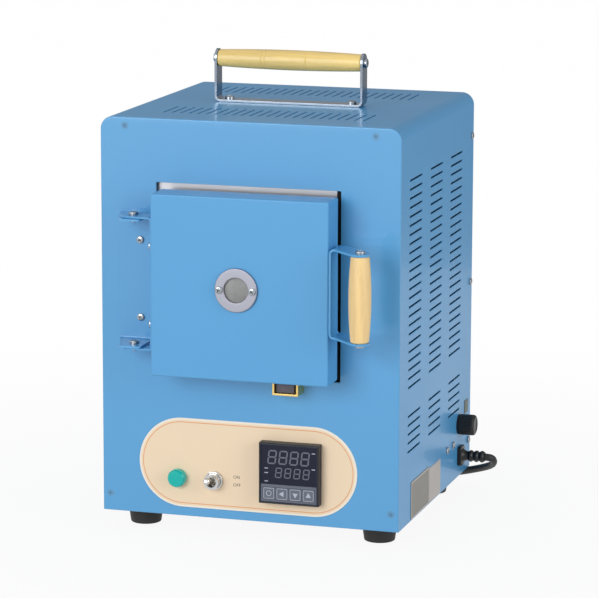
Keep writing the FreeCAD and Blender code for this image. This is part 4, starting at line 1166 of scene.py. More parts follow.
@dataclass
class Studio:
    """Camera, floor and soft light."""

    azimuth: float = 16.85
    elevation: float = 10.91
    roll: float = 0.17
    focal_length: float = 195.77
    distance: float = 2.4797
    aim: Point = (0.03303, -0.0862, 0.19334)
    middle: Point = (0.0, 0.0, 0.18)
    lamps: tuple[SoftLamp, ...] = (
        SoftLamp("key", (-1.1, -3.2, 1.15), (2.0, 1.8), 64.0),
        SoftLamp("fill", (2.3, -0.9, 0.8), (1.2, 1.4), 20.0),
        SoftLamp("back", (-2.2, 2.1, 1.3), (1.4, 1.4), 16.0))
    floor_half: float = 6.0
    floor_light: Colour = (0.8, 0.8, 0.8)
    floor_white: tuple[Flat, Flat] = ((0.15, 0.91), (0.7, 0.995))
    card_half: float = 2.0
    card_place: float = 1.1
    card_height: float = 1.6
    card_light: Colour = (0.34, 0.35, 0.365)
    room_light: Colour = (0.36, 0.365, 0.375)

    def camera(self) -> None:
        """Places the camera at the photograph's viewing angle."""
        turn, lift, roll = map(math.radians, (self.azimuth, self.elevation, self.roll))
        level = math.cos(lift)
        back = np.array([math.sin(turn) * level, -math.cos(turn) * level, math.sin(lift)])
        right = np.array([math.cos(turn), math.sin(turn), 0.0])
        up = np.cross(back, right)
        right, up = (right * math.cos(roll) + up * math.sin(roll),
                     up * math.cos(roll) - right * math.sin(roll))
        data = bpy.data.cameras.new("camera")
        data.lens = self.focal_length
        data.sensor_width = 36.0
        data.clip_end = 30.0
        data.clip_start = 0.05
        item = bpy.data.objects.new("camera", data)
        matrix = np.eye(4)
        matrix[:3, 0], matrix[:3, 1], matrix[:3, 2] = right, up, back
        matrix[:3, 3] = np.array(self.aim) + back * self.distance
        item.matrix_world = Matrix(matrix.tolist())
        bpy.context.scene.collection.objects.link(item)
        bpy.context.scene.camera = item

    def seen(self, nodes: Nodes) -> Socket:
        """One for rays that look at the background: straight, mirrored or through glass.

        Args:
            nodes: the nodes of the floor's material or of the world.

        Returns:
            The mask.
        """
        path = nodes.new("ShaderNodeLightPath")
        mirrored, through = path.outputs["Is Glossy Ray"], path.outputs["Is Transmission Ray"]
        return nodes.math("MAXIMUM", path.outputs["Is Camera Ray"],
                          nodes.math("MAXIMUM", mirrored, through))

    def sheet(self, name: str, corners: Sequence[Point]) -> tuple[bpy.types.Object, Nodes]:
        """Flat sheet of the studio with a material of its own.

        Args:
            name: name of the sheet and of its material.
            corners: its four corners.

        Returns:
            The sheet and its material's nodes.
        """
        mesh = bpy.data.meshes.new(name)
        mesh.from_pydata(corners, [], [(0, 1, 2, 3)])
        item = bpy.data.objects.new(name, mesh)
        bpy.context.scene.collection.objects.link(item)
        material = bpy.data.materials.new(name)
        material.use_nodes = True
        mesh.materials.append(material)
        return item, Nodes(material.node_tree)

    def grey_card(self) -> None:
        """Grey card behind the kiln, which the painted top and side mirror at their flat angle."""
        half, y, top = self.card_half, self.card_place, self.card_height
        item, nodes = self.sheet("grey_card", [(-half, y, 0.0), (half, y, 0.0), (half, y, top),
                                               (-half, y, top)])
        glow = nodes.new("ShaderNodeEmission", {"Color": (*self.card_light, 1.0), "Strength": 1.0})
        nodes.fill(nodes.tree.nodes["Material Output"], {"Surface": glow.outputs[0]})
        item.visible_camera = False
        item.visible_transmission = False
        item.visible_shadow = False

    def floor(self) -> None:
        """Pale floor that looks white to the camera and to mirrors, and keeps the shadow.

        The share of white grows with the distance from the kiln.
        """
        half = self.floor_half
        _, nodes = self.sheet("floor", [(-half, -half, 0.0), (half, -half, 0.0), (half, half, 0.0),
                                        (-half, half, 0.0)])
        shader = nodes.tree.nodes["Principled BSDF"]
        nodes.fill(shader, {"Base Color": (*self.floor_light, 1.0), "Roughness": 0.9,
                            "Specular IOR Level": 0.1})
        glow = nodes.new("ShaderNodeEmission", {"Color": (1, 1, 1, 1), "Strength": 1.0})
        position = nodes.new("ShaderNodeTexCoord").outputs["Object"]
        away = nodes.new("ShaderNodeVectorMath", {0: position}, operation="LENGTH").outputs["Value"]
        (near, near_white), (far, far_white) = self.floor_white
        white = nodes.spread(away, near, far, near_white, far_white)
        share = nodes.math("MULTIPLY", self.seen(nodes), white)
        blend = nodes.new("ShaderNodeMixShader", {
            0: share, 1: shader.outputs[0], 2: glow.outputs[0]})
        nodes.fill(nodes.tree.nodes["Material Output"], {"Surface": blend.outputs[0]})

    def world(self) -> None:
        """White to the camera and to glass, even soft light otherwise."""
        world = bpy.data.worlds.new("room")
        bpy.context.scene.world = world
        world.use_nodes = True
        nodes = Nodes(world.node_tree)
        ground = world.node_tree.nodes["Background"]
        nodes.fill(ground, {"Color": (*self.room_light, 1.0)})
        white = nodes.new("ShaderNodeBackground", {"Color": (1, 1, 1, 1), "Strength": 1.0})
        blend = nodes.new("ShaderNodeMixShader", {
            0: self.seen(nodes), 1: ground.outputs[0], 2: white.outputs[0]})
        nodes.fill(world.node_tree.nodes["World Output"], {"Surface": blend.outputs[0]})

    def build(self) -> None:
        """Places everything round the kiln."""
        bpy.context.scene.view_settings.view_transform = "Standard"
        self.camera()
        self.world()
        self.floor()
        self.grey_card()
        for lamp in self.lamps:
            lamp.light(self.middle)


# Cord

@dataclass
class PowerLead:
    """Mains lead: out of its bushing, down to the bench, wound behind the case, to its plug."""

    diameter: float = 6.0
    coil_centre: Flat = (20.0, 287.0)
    outer_turn: float = 45.0
    inner_turn: float = 20.0
    turns: int = 8
    points_per_turn: int = 16
    gap: float = 0.1
    climb: float = 0.25
    flange_half: Flat = (6.5, 8.0)
    flange_corner: float = 2.4
    flange_face: float = 123.2
    throat: float = 5.9
    sleeve_back: float = 110.0
    sleeve_root: float = 123.0
    sleeve_length: float = 18.8
    sleeve_radius: float = 6.3
    cone_share: float = 0.26
    cone_fall: float = 2.5
    ribs: int = 3
    exit: float = 141.0
    lead: tuple[Point, ...] = (
        (128, 190, 32.9), (142.8, 190, 32.9), (147.6, 192, 31.8), (147.8, 197.5, 27.4),
        (144, 205, 22.8), (136, 213.5, 18.4), (123.6, 222.5, 13.3), (107.5, 231, 8.0),
        (91, 236.5, 4.2), (74, 240, 3.1), (57, 241.6, 3.1), (40, 242, 3.1), (26, 242, 3.1))
    tail: tuple[Point, ...] = ((14, 242, 9.4), (1, 241.6, 9.2), (-12, 240.6, 9.2), (-25, 240, 9.6))

    def coil(self) -> Array:
        """Turns of the coil: inwards on the bench, up, and outwards on top of them.

        Returns:
            Points on a circle whose radius shrinks and grows with the turn.
        """
        turn = np.arange(self.turns * self.points_per_turn + 1) / self.points_per_turn
        half = self.turns / 2
        run = half - self.climb
        share = np.clip(np.abs(turn - half) - self.climb, 0, run) / run
        radius = self.inner_turn + (self.outer_turn - self.inner_turn) * share
        rise = np.clip((turn - run) / (2 * self.climb), 0, 1)
        lift = rise * rise * (3 - 2 * rise)
        height = self.diameter / 2 + self.gap + (self.diameter + self.gap) * lift
        angle = -math.pi / 2 - turn * 2 * math.pi
        return np.stack([self.coil_centre[0] + radius * np.cos(angle),
                         self.coil_centre[1] + radius * np.sin(angle), height], -1)

    def length(self, points: Array) -> float:
        """Length of the line through the points, in millimetres."""
        return float(np.linalg.norm(np.diff(points, axis=0), axis=1).sum())

    def bushing(self) -> None:
        """Oblong flange and a ribbed sleeve.

        The sleeve's radius falls along a hollow cone by fall (1 - (1 - t) ** 2.2), and then swells
        by a millimetre in each rib: the square of a sine, cut off at four fifths of its height.
        """
        y, z = self.lead[0][1:]
        across, up = self.flange_half
        outline = rectangle((y - across, z - up), (y + across, z + up), self.flange_corner)
        mesh = plate("bushing_flange", outline, (self.flange_face, CASE_SIDE), Facing.SIDE, 0.6,
                     [circle((y, z), self.throat)])
        piece(mesh, BLACK_PLASTIC)
        along = np.linspace(0.0, 1.0, 73)
        cone = np.clip(along / self.cone_share, 0, 1)
        ribs = np.clip((along - self.cone_share) / (1 - self.cone_share), 0, 1)
        swell = np.clip(np.sin(ribs * self.ribs * math.pi) ** 2, 0, 0.8) / 0.8
        radius = self.sleeve_radius - self.cone_fall * (1 - (1 - cone) ** 2.2) + swell
        root = self.sleeve_root - self.sleeve_back
        outside = np.stack([radius, root + self.sleeve_length * along], -1)
        bore = self.diameter / 2 + self.gap
        neck = self.throat + 0.05
        profile = np.concatenate([[(bore, 0.0), (neck, 0.0), (neck, outside[0, 1] - 0.1)], outside,
                                  [(bore, outside[-1, 1])]])
        mesh = lathe("bushing_sleeve", profile, (self.sleeve_back, y, z), (1, 0, 0), closed=True)
        piece(mesh, BLACK_PLASTIC, ["cord_bushing"])

    def build(self) -> None:
        """Makes the lead as one smooth spline with its plug and bushing."""
        points = np.concatenate([np.array(self.lead), self.coil(), np.array(self.tail)])
        curve = bpy.data.curves.new("power_lead", "CURVE")
        curve.dimensions = "3D"
        curve.bevel_depth = self.diameter / 2000.0
        curve.bevel_resolution = 5
        curve.resolution_u = 8
        curve.use_fill_caps = True
        spline = curve.splines.new("NURBS")
        spline.points.add(len(points) - 1)
        rows = np.concatenate([place(points), np.ones((len(points), 1))], 1)
        spline.points.foreach_set("co", rows.ravel())
        spline.order_u = 3
        spline.use_endpoint_u = True
        item = bpy.data.objects.new("power_lead", curve)
        bpy.context.scene.collection.objects.link(item)
        curve.materials.append(LEAD_BLACK.material())
        plug = eased_copy("power_plug", BLACK_PLASTIC, 0.8)
        self.bushing()
        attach(item, "kiln")
        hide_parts("power_cord", "power_cord_coil")


# Case

@dataclass
class Case:
    """Wrapper cover, front and back panels, feet and screws."""

    width: float = 2 * CASE_SIDE
    depth: float = 226.0
    low: float = 15.5
    high: float = CASE_TOP
    corner: float = 10.0
    sheet: float = 1.2
    panel: float = 2.0
    slot_height: float = 1.6
    slot_length: float = 37.0
    slot_pitch: float = 7.0
    slots: int = 24
    low_slots: int = 5
    side_slot_starts: tuple[float, ...] = (26.0, 89.0, 152.0)
    top_slot_starts: tuple[float, ...] = (34.0, 165.0)
    slot_top: float = 285.1
    low_slot_top: float = 101.3
    door_gap: float = 3.5
    opening_shift: float = -1.9
    front_screws: tuple[Flat, ...] = (
        (-100.0, 320.8), (100.0, 320.8), (-114.0, 29.5), (114.0, 29.5))
    front_hole: float = 1.7
    flange: float = 14.0
    cover_screw_levels: tuple[float, ...] = (39.5, 172.5, 293.1)
    block_screws: tuple[Flat, Flat] = ((148.6, 46.2), (168.6, 46.2))
    hinge_screw: Flat = (-87.2, -1.6)
    foot_x: float = 96.2
    foot_y: Flat = (33.0, 193.0)
    foot_screw: float = 7.5
    foot_profile: tuple[Flat, ...] = (
        (2.1, 7.5), (6.0, 7.5), (6.0, 0.0), (12.0, 0.0), (14.2, 15.5), (2.1, 15.5))
    foot_corners: tuple[float, ...] = (0.0, 0.3, 0.5, 1.2, 0.6, 0.0)

    def arch(self) -> Array:
        """Outline of the case from the front.

        Returns:
            The outline's points, anticlockwise.
        """
        half = self.width / 2
        corners = [(-half, self.low), (half, self.low), (half, self.high), (-half, self.high)]
        return rounded(corners, [0.0, 0.0, self.corner, self.corner], 10)

    def slot_levels(self) -> Array:
        """Levels of the side slots.

        Returns:
            Lower and upper edge of each slot, in rising order.
        """
        high = self.slot_top - self.slot_pitch * np.arange(self.slots)
        low = self.low_slot_top - self.slot_pitch * np.arange(self.low_slots)
        tops = np.sort(np.concatenate([high, low]))
        return np.stack([tops - self.slot_height, tops], -1)

    def unrolled(self) -> tuple[Array, Array, Array]:
        """Lines along which the unrolled cover is divided across its width.

        Returns:
            The outline's points (x, z), outward normals, and for each cell between two lines
            0 for plain sheet, 1 for a side slot and 2 for a top slot.
        """
        half = self.width / 2
        slots = self.slot_levels().ravel()
        side = np.concatenate([[self.low], slots, [self.high - self.corner]])
        side_kind = np.zeros(len(side) - 1, int)
        side_kind[1::2] = 1
        side_kind[-1] = 0
        turn = np.linspace(0, math.pi / 2, 11)[1:-1]
        middle, bend_foot = half - self.corner, self.high - self.corner
        left = np.stack([-middle - self.corner * np.cos(turn),
                         bend_foot + self.corner * np.sin(turn)], -1)
        first = -(self.slots - 1) * self.slot_pitch / 2
        starts = first + self.slot_pitch * np.arange(self.slots)
        edges = np.stack([starts - self.slot_height / 2, starts + self.slot_height / 2], -1).ravel()
        top = np.concatenate([[-middle], edges, [middle]])
        top_kind = np.zeros(len(top) - 1, int)
        top_kind[1::2] = 2
        left_side, right_side = (np.stack([np.full(len(side), way * half), side[::-way]], -1)
                                 for way in (-1, 1))
        roof = np.stack([top, np.full(len(top), self.high)], -1)
        points = np.concatenate([left_side, left, roof, left[::-1] * (-1, 1), right_side])
        bend = np.zeros(len(turn) + 1, int)
        kinds = np.concatenate([side_kind, bend, top_kind, bend, side_kind[::-1]])
        angle = np.concatenate([np.full(len(side), math.pi), math.pi - turn,
                                np.full(len(top), math.pi / 2), turn[::-1], np.zeros(len(side))])
        return points, np.stack([np.cos(angle), np.sin(angle)], -1), kinds

    def cover(self) -> None:
        """Bends the pierced sheet: outline carried along y, with cells left out at the slots."""
        points, normals, kinds = self.unrolled()
        marks = [self.panel + 0.05, self.depth]
        for start in self.side_slot_starts + self.top_slot_starts:
            marks += [start, start + self.slot_length]
        along = np.unique(np.array(marks))
        middles = (along[1:] + along[:-1]) / 2
        solid = np.ones((len(kinds), len(middles)), bool)
        for kind, starts in ((1, self.side_slot_starts), (2, self.top_slot_starts)):
            begin = np.array(starts)[:, None]
            inside = ((middles > begin) & (middles < begin + self.slot_length)).any(0)
            solid &= ~((kinds == kind)[:, None] & inside)
        rows, columns = len(points), len(along)
        offset = rows * columns
        index = np.arange(offset).reshape(rows, columns)
        quad = np.stack([index[:-1, :-1], index[1:, :-1], index[1:, 1:], index[:-1, 1:]], -1)
        faces = [quad[solid], quad[solid][:, ::-1] + offset]
        padded = np.pad(solid, 1)
        here = padded[1:-1, 1:-1]
        ways = ((0, -1, 3, 0), (0, 1, 1, 2), (1, -1, 0, 1), (1, 1, 2, 3))
        for axis, shift, first, second in ways:
            beyond = np.roll(padded, -shift, axis)[1:-1, 1:-1]
            edge = quad[here & ~beyond]
            start, end = edge[:, first], edge[:, second]
            faces.append(np.stack([start, end, end + offset, start + offset], -1))
        depths = np.array([0.0, self.sheet])[:, None, None]
        flat = points - normals * depths
        grid = np.empty((2, rows, columns, 3))
        grid[..., 0], grid[..., 1], grid[..., 2] = flat[..., :1], along, flat[..., 1:]
        surface = Surface()
        surface.add(grid.reshape(-1, 3), faces)
        mesh = surface.mesh("wrapper_cover_sheet")
        piece(mesh, COVER_PAINT, ["wrapper_cover"], bevel=0.22, angle=FOLD_ANGLE)

    def front(self) -> None:
        """Front panel with the furnace opening and its countersunk holes."""
        low, high = node_box("furnace_front_frame")
        door_low, door_high = node_box("door_cover")
        half = (door_high[0] - door_low[0]) / 2 + self.door_gap
        x = (low[0] + high[0]) / 2 + self.opening_shift
        z = (low[2] + high[2]) / 2
        opening = rectangle((x - half, z - half), (x + half, z + half), 1.0, 3)
        holes = [opening] + [circle(spot, self.front_hole, 24) for spot in self.front_screws]
        mesh = plate("front_panel_sheet", self.arch(), (0.0, self.panel), Facing.FRONT, 1.0,
                     holes, 0.3)
        piece(mesh, CASE_PAINT, ["front_panel"])

    def fasteners(self) -> None:
        """Screws of the panel, the cover, the terminal block, the feet and the hinge."""
        flats = [(M3_FLAT, (x, -0.05, z), (0, -1, 0)) for x, z in self.front_screws]
        piece(screws("front_screw_heads", flats), SCREW_PAINT,
              ["front_panel_screws"])
        half = self.width / 2
        y = self.depth - self.flange / 2
        heads = [(M3_PAN, (side * half, y, z), (side, 0, 0))
                 for side in (-1, 1) for z in self.cover_screw_levels]
        heads += [(M3_PAN, (half, *spot), (1, 0, 0)) for spot in self.block_screws]
        heads += [(M4_PAN, (side * self.foot_x, y, self.foot_screw), (0, 0, -1))
                  for side in (-1, 1) for y in self.foot_y]
        heads += [(M3_PAN, (*self.hinge_screw, z), (0, -1, 0)) for z in HINGE_SCREW_LEVELS]
        piece(screws("case_screw_heads", heads), SCREW_STEEL, ["case_screws"])

    def feet(self) -> None:
        """Tapered rubber feet with a recess for their screws: an eased profile turned round z."""
        surface = Surface()
        profile = rounded(self.foot_profile, self.foot_corners, 4)
        profile = np.concatenate([profile, profile[:1]])
        for x in (-self.foot_x, self.foot_x):
            for y in self.foot_y:
                surface.rings(lathe_rings(profile, (x, y, 0.0), (0, 0, 1), 48))
        piece(surface.mesh("foot_pads"), RUBBER, ["rubber_feet"])

    def build(self) -> None:
        """Makes the case."""
        self.cover()
        self.front()
        self.fasteners()
        self.feet()
        eased_copy("back_panel", CASE_PAINT, 0.2, FOLD_ANGLE)
        eased_copy("base_pan", GALVANISED, 0.2, FOLD_ANGLE)


@dataclass
class CarryHandle:
    """Bent bracket with a turned grip on top of the case."""

    middle: Flat = (-1.7, 113.0)
    base: float = CASE_TOP
    width: float = 122.0
    depth: float = 14.0
    height: float = 42.0
    sheet: float = 2.0
    grip_height: float = 34.5
    grip_radii: Flat = (6.7, 8.0)
    grooves: tuple[float, ...] = (0.31, 0.335, 0.62)
    bend: float = 4.5
    foot_screw: float = 50.5

    def bracket(self) -> None:
        """Bar along a U: the width narrows to nothing along a half-circle at both noses."""
        x, y = self.middle
        half = self.width / 2 - self.sheet / 2
        top = self.base + self.height
        low = self.base + self.sheet / 2
        corners = [(x - half, top), (x - half, low), (x + half, low), (x + half, top)]
        points, normals = bent_path(corners, self.bend - self.sheet / 2)
        nose = self.depth / 2
        shoulder = top - nose
        rise = shoulder + nose * np.sin(np.linspace(0, math.pi / 2, 9))
        left, right = (np.stack([np.full(9, x + side * half), rise[::side]], -1)
                       for side in (-1, 1))
        points, normals = with_noses(points, normals, points[:, 1] < shoulder, (left, right),
                                     (1.0, 0.0))
        past = np.clip((points[:, 1] - shoulder) / nose, 0, 1)
        half_width = np.maximum(nose * np.sqrt(1 - past ** 2), BAR_TIP)
        mesh = ribbon("carry_bar", upright(points, y), upright(normals, 0.0), (0, 1, 0), half_width,
                      self.sheet, 0.3)
        piece(mesh, HANDLE_NICKEL, ["carry_bracket"])

    def build(self) -> None:
        """Makes the handle."""
        self.bracket()
        x, y = self.middle
        z = self.base + self.grip_height
        length = self.width - 2 * self.sheet
        mesh = turned_grip("carry_grip_turned", length, *self.grip_radii, (x - length / 2, y, z),
                           (1, 0, 0), self.grooves)
        piece(mesh, WOOD_ACROSS, ["carry_grip"])
        heads = [(M4_PAN, (x + side * self.width / 2, y, z), (side, 0, 0)) for side in (-1, 1)]
        heads += [(M4_PAN, (x + side * self.foot_screw, y, self.base + self.sheet), (0, 0, 1))
                  for side in (-1, 1)]
        piece(screws("carry_screw_heads", heads), SCREW_STEEL, ["carry_screws"])


def turned_grip(name: str, length: float, end_radius: float, middle_radius: float, base: Point,
                direction: Point, grooves: Sequence[float] = ()) -> Mesh:
    """Turned grip: a circular swell between eased ends, less narrow grooves.

    Args:
        name: name of the mesh.
        length: its length.
        end_radius: radius near its ends.
        middle_radius: radius at its middle.
        base: start of its axis.
        direction: its axis.
        grooves: places of the grooves as shares of the length.

    Returns:
        The mesh.
    """
    near = [length * spot + np.linspace(-0.9, 0.9, 13) for spot in grooves]
    along = np.unique(np.concatenate([np.linspace(1.0, length - 1.0, 121), *near]))
    share = 2 * along / length - 1
    radius = end_radius + (middle_radius - end_radius) * (1 - share ** 2)
    for spot in grooves:
        radius = radius - 0.35 * np.exp(-((along - length * spot) / 0.35) ** 2)
    ease = ease_steps(1.0, 4)
    start = np.stack([end_radius - ease[::-1, 0], ease[::-1, 1]], -1)[:-1]
    end = np.stack([end_radius - ease[:, 0], length - ease[:, 1]], -1)[1:]
    body = np.stack([radius, along], -1)
    profile = np.concatenate([[(0.0, 0.0)], start, body, end, [(0.0, length)]])
    surface = Surface()
    surface.rings(lathe_rings(profile, base, direction, 64))
    return surface.mesh(name)


# Control panel

@dataclass
class ControlPanel:
    """Printed oval plate with its lamp, toggle switch and temperature controller."""

    lamp: Flat = (-57.5, 46.5)
    lamp_profile: tuple[Flat, ...] = (
        (0.0, 6.3), (5.1, 6.3), (5.1, 0.0), (7.0, 0.0), (7.0, 5.6), (5.8, 7.2), (0.0, 7.5))
    toggle: Flat = (-28.0, 46.2)
    tilt: float = 12.0
    lever_profile: tuple[Flat, ...] = (
        (0.0, 1.0), (1.5, 1.0), (1.5, 6.6), (2.15, 11.4), (2.7, 16.0), (2.4, 18.1), (1.2, 19.0),
        (0.0, 19.0))
    nut_radius: float = 7.5
    nut_flats: int = 12
    nut_bore: float = 5.95
    nut_face: float = -3.4
    face: float = -0.8
    growth: Point = (1.6, 0.0, 2.0)
    word_left: float = -12.6
    word_levels: Flat = (48.7, 42.4)
    word_size: float = 3.5
    digit_rows: tuple[tuple[float, ...], ...] = (
        (5.6, 8.8, 14.4, 5.8, 10.0), (11.6, 7.4, 25.2, 4.4, 7.4))
    digits: int = 4
    slant: float = 0.12
    bar_share: float = 0.11
    gap_share: float = 0.35
    lights: tuple[Flat, ...] = ((4.4, 18.4), (4.4, 22.0), (4.4, 28.6), (42.2, 4.6), (42.2, 17.2))
    light_half: Flat = (1.4, 0.35)
    key_gap: float = 0.2
    key_line: float = 4.3
    line_width: float = 0.42
    ring_width: float = 0.5
    key_ring: float = 2.2
    key_triangle: float = 2.5
    triangle_turns: tuple[float, ...] = (180.0, -90.0, 90.0)

    def build(self) -> None:
        """Makes the panel's pieces."""
        self.oval()
        self.pilot_lamp()
        self.switch()
        self.controller()

    def oval(self) -> None:
        """Oval plate with an eased edge, and the two words beside the switch."""
        low, high = node_box("control_plate")
        high = high + np.array(self.growth)
        x, z = (low[0] + high[0]) / 2, (low[2] + high[2]) / 2
        radius = (high[2] - low[2]) / 2
        reach = (high[0] - low[0]) / 2 - radius
        outline = rectangle((x - reach - radius, z - radius), (x + reach + radius, z + radius),
                            radius - 0.01, 32)
        finish = OvalPrint("panel_print", (240, 216, 184), cloud=0.02, skin=0.004, middle=(x, z),
                           reach=reach, radius=radius)
        mesh = plate("control_oval", outline, (self.face, 0.0), Facing.FRONT, 0.25)
        piece(mesh, finish, ["control_plate"])
        for word, level in zip(("on", "off"), self.word_levels):
            words("word_" + word, word.upper(), self.word_size,
                  (self.word_left, self.face - 0.02, level), PRINT_DARK)

    def pilot_lamp(self) -> None:
        """Lens: a cup with a low dome, turned round its axis."""
        x, z = self.lamp
        mesh = lathe("lamp_cap", self.lamp_profile, (x, self.face, z), (0, -1, 0), 0.5)
        piece(mesh, LAMP, ["pilot_lamp_lens"])

    def switch(self) -> None:
        """Nut with flats round the bush, and the tapered lever."""
        x, z = self.toggle
        turn = (np.arange(self.nut_flats) + 0.5) * 2 * math.pi / self.nut_flats
        nut = np.stack([x + self.nut_radius * np.cos(turn), z + self.nut_radius * np.sin(turn)], -1)
        mesh = plate("switch_nut", nut, (self.nut_face, self.face), Facing.FRONT, 0.4,
                     [circle((x, z), self.nut_bore)], 0.3)
        piece(mesh, NICKEL, ["toggle_nut"])
        angle = math.radians(self.tilt)
        way = (0.0, -math.cos(angle), math.sin(angle))
        mesh = lathe("switch_lever", self.lever_profile, (x, self.nut_face, z), way, 0.8, 40)
        piece(mesh, NICKEL, ["toggle_lever"], body="toggle")

    def controller(self) -> None:
        """Housing, window, keypad and keys with eased edges, and the print on them."""
        eased_copy("controller_housing", CONTROLLER_NAVY, 0.35)
        eased_copy("controller_window", WINDOW_NAVY, 0.2)
        self.keypad()
        low, high = node_box("controller_window")
        left, top, level = low[0], high[2], low[1] - INK_RISE
        digits, lights = Surface(), Surface()
        for start, pitch, foot, width, height in self.digit_rows:
            for step in range(self.digits):
                self.digit(digits, (left + start + pitch * step, top - foot, level), width, height)
        half = np.array(self.light_half)
        for across, down in self.lights:
            middle = np.array([left + across, top - down])
            lights.ink(rectangle(middle - half, middle + half, 0.2, 2), level)
        for name, surface, finish in (("display_digits", digits, DIGIT_GREY),
                                      ("display_lights", lights, PRINT_GREY)):
            piece(surface.mesh(name, weld=PRINT_WELD), finish)
        for step, name in enumerate(KEYS):
            eased_copy("controller_key_" + name, KEY_GREY, 0.2, body="key_" + name)
            self.key_print(name, step)

    def keypad(self) -> None:
        """Sheet below the window with an opening round each key."""
        low, high = node_box("controller_keypad")
        openings = []
        gap = self.key_gap
        for name in KEYS:
            key_low, key_high = node_box("controller_key_" + name)
            openings.append(rectangle((key_low[0] - gap, key_low[2] - gap),
                                      (key_high[0] + gap, key_high[2] + gap), 0.5, 3))
        outline = rectangle((low[0], low[2]), (high[0], high[2]), 0.3, 3)
        mesh = plate("keypad_sheet", outline, (low[1], high[1]), Facing.FRONT, 0.15, openings, 0.1)
        piece(mesh, KEYPAD_GREY, ["controller_keypad"])

    def key_print(self, name: str, mark: int) -> None:
        """Print on a key: a rounded square line with a ring, or a triangle, in it.

        Args:
            name: name of the key.
            mark: 0 for a ring, 1, 2 and 3 for a triangle to the left, down and up.
        """
        low, high = node_box("controller_key_" + name)
        x, z = (low[0] + high[0]) / 2, (low[2] + high[2]) / 2
        level = low[1] - INK_RISE
        half = self.key_line
        surface = Surface()
        square = rectangle((x - half, z - half), (x + half, z + half), 1.0, 4)
        self.band(surface, square, self.line_width, level)
        if mark == 0:
            self.band(surface, circle((x, z), self.key_ring, 32), self.ring_width, level)
        else:
            first = math.radians(self.triangle_turns[mark - 1])
            turn = first + np.arange(3) * 2 * math.pi / 3
            corners = self.key_triangle * np.stack([np.cos(turn), np.sin(turn)], -1)
            surface.ink(corners + (x, z), level)
        piece(surface.mesh("key_print_" + name, weld=PRINT_WELD), PRINT_GREY,
              body="key_" + name)

    def band(self, surface: Surface, outline: Array, width: float, level: float) -> None:
        """Printed line along an outline: outer and inner edge, front and back, joined round.

        Args:
            surface: the surface that grows.
            outline: the line's outer edge.
            width: width of the line.
            level: level of its face.
        """
        inner = inset(outline, width)
        back = level + INK_DEPTH
        rings = [lifted(edge, step, Facing.FRONT) for edge, step in (
            (outline, back), (outline, level), (inner, level), (inner, back))]
        surface.rings(np.stack(rings + rings[:1]))

    def digit(self, surface: Surface, foot: Point, width: float, height: float) -> None:
        """Seven slanted bars of one unlit figure.

        Args:
            surface: the surface that grows.
            foot: left end of its foot, and the level of its face.
            width: its width.
            height: its height.
        """
        x, z, level = foot
        bar = height * self.bar_share
        gap = bar * self.gap_share
        half = height / 2
        flats = [rectangle((gap, up - bar / 2), (width - gap, up + bar / 2))
                 for up in (0.0, half, height)]
        posts = [rectangle((side - bar / 2, low + gap), (side + bar / 2, low + half - gap))
                 for side in (0.0, width) for low in (0.0, half)]
        for outline in flats + posts:
            lean = outline[:, 1] * self.slant
            surface.ink(outline + np.stack([lean + x, np.full(len(lean), z)], -1), level)


# Furnace

@dataclass
class Furnace:
    """Chamber with wound coils in its grooved walls."""

    wire: float = 0.45
    winding: float = 2.15
    pitch: float = 2.1
    per_side: int = 5
    coil_radius: float = 2.6
    # Where the dark strip of painted shade lies on the frame, beside and below the door.
    shade_strip_low: Flat = (-74.5, -77.0)
    shade_strip_high: Flat = (77.0, 77.0)
    shade_strip_inner: Flat = (67.8, -70.0)
    shade_strip_height: float = 1.6

    def coils(self) -> None:
        """Helical wires: a round section carried along the line (r cos t, y, r sin t)."""
        low, high = node_box("heating_coils")
        radius = self.coil_radius
        surface = Surface()
        rise = np.linspace(low[2] + radius, high[2] - radius, self.per_side)
        start, end = low[1] + 1.0, high[1] - 1.0
        turns = (end - start) / self.pitch
        turn = np.linspace(0.0, turns * 2 * math.pi, int(turns * 14))
        y = np.linspace(start, end, len(turn))
        ring = np.arange(6) * 2 * math.pi / 6
        out = np.stack([np.cos(turn), np.zeros_like(turn), np.sin(turn)], -1)
        section = (np.cos(ring)[None, :, None] * out[:, None, :]
                   + np.sin(ring)[None, :, None] * np.array([0.0, 1.0, 0.0]))
        for x in (low[0] + radius, high[0] - radius):
            for z in rise:
                middle = np.stack([x + self.winding * out[:, 0], y,
                                   z + self.winding * out[:, 2]], -1)
                surface.rings(middle[:, None, :] + self.wire * section, caps=(True, True))
        piece(surface.mesh("wound_coils"), COIL_WIRE, ["heating_coils"])

    def shade_strip(self) -> None:
        """Dark strip on the frame, along its right edge and below the door: painted shade for the
        door's shadow in the gap.
        """
        low, high = node_box("furnace_front_frame")
        middle = np.array([low[0] + high[0], low[2] + high[2]]) / 2
        (left, bottom), (right, top), (inner, sill) = self.shade_strip_low, self.shade_strip_high, self.shade_strip_inner
        corners = middle + np.array([(left, bottom), (right, bottom), (right, top), (inner, top),
                                     (inner, sill), (left, sill)])
        mesh = plate("frame_shade_strip", rounded(corners, 0.6, 3), (low[1] - self.shade_strip_height, low[1]),
                     Facing.FRONT, 0.5)
        piece(mesh, PAINTED_SHADE)

    def build(self) -> None:
        """Makes the furnace's pieces."""
        self.coils()
        eased_copy("furnace_muffle", CERAMIC, 0.8, FOLD_ANGLE)
        eased_copy("hearth_plate", HEARTH, 0.8)
        eased_copy("furnace_front_frame", STAINLESS, 0.2, FOLD_ANGLE)
        # Dark strip of painted shade in the gap beside and below the door.
        self.shade_strip()


# Door

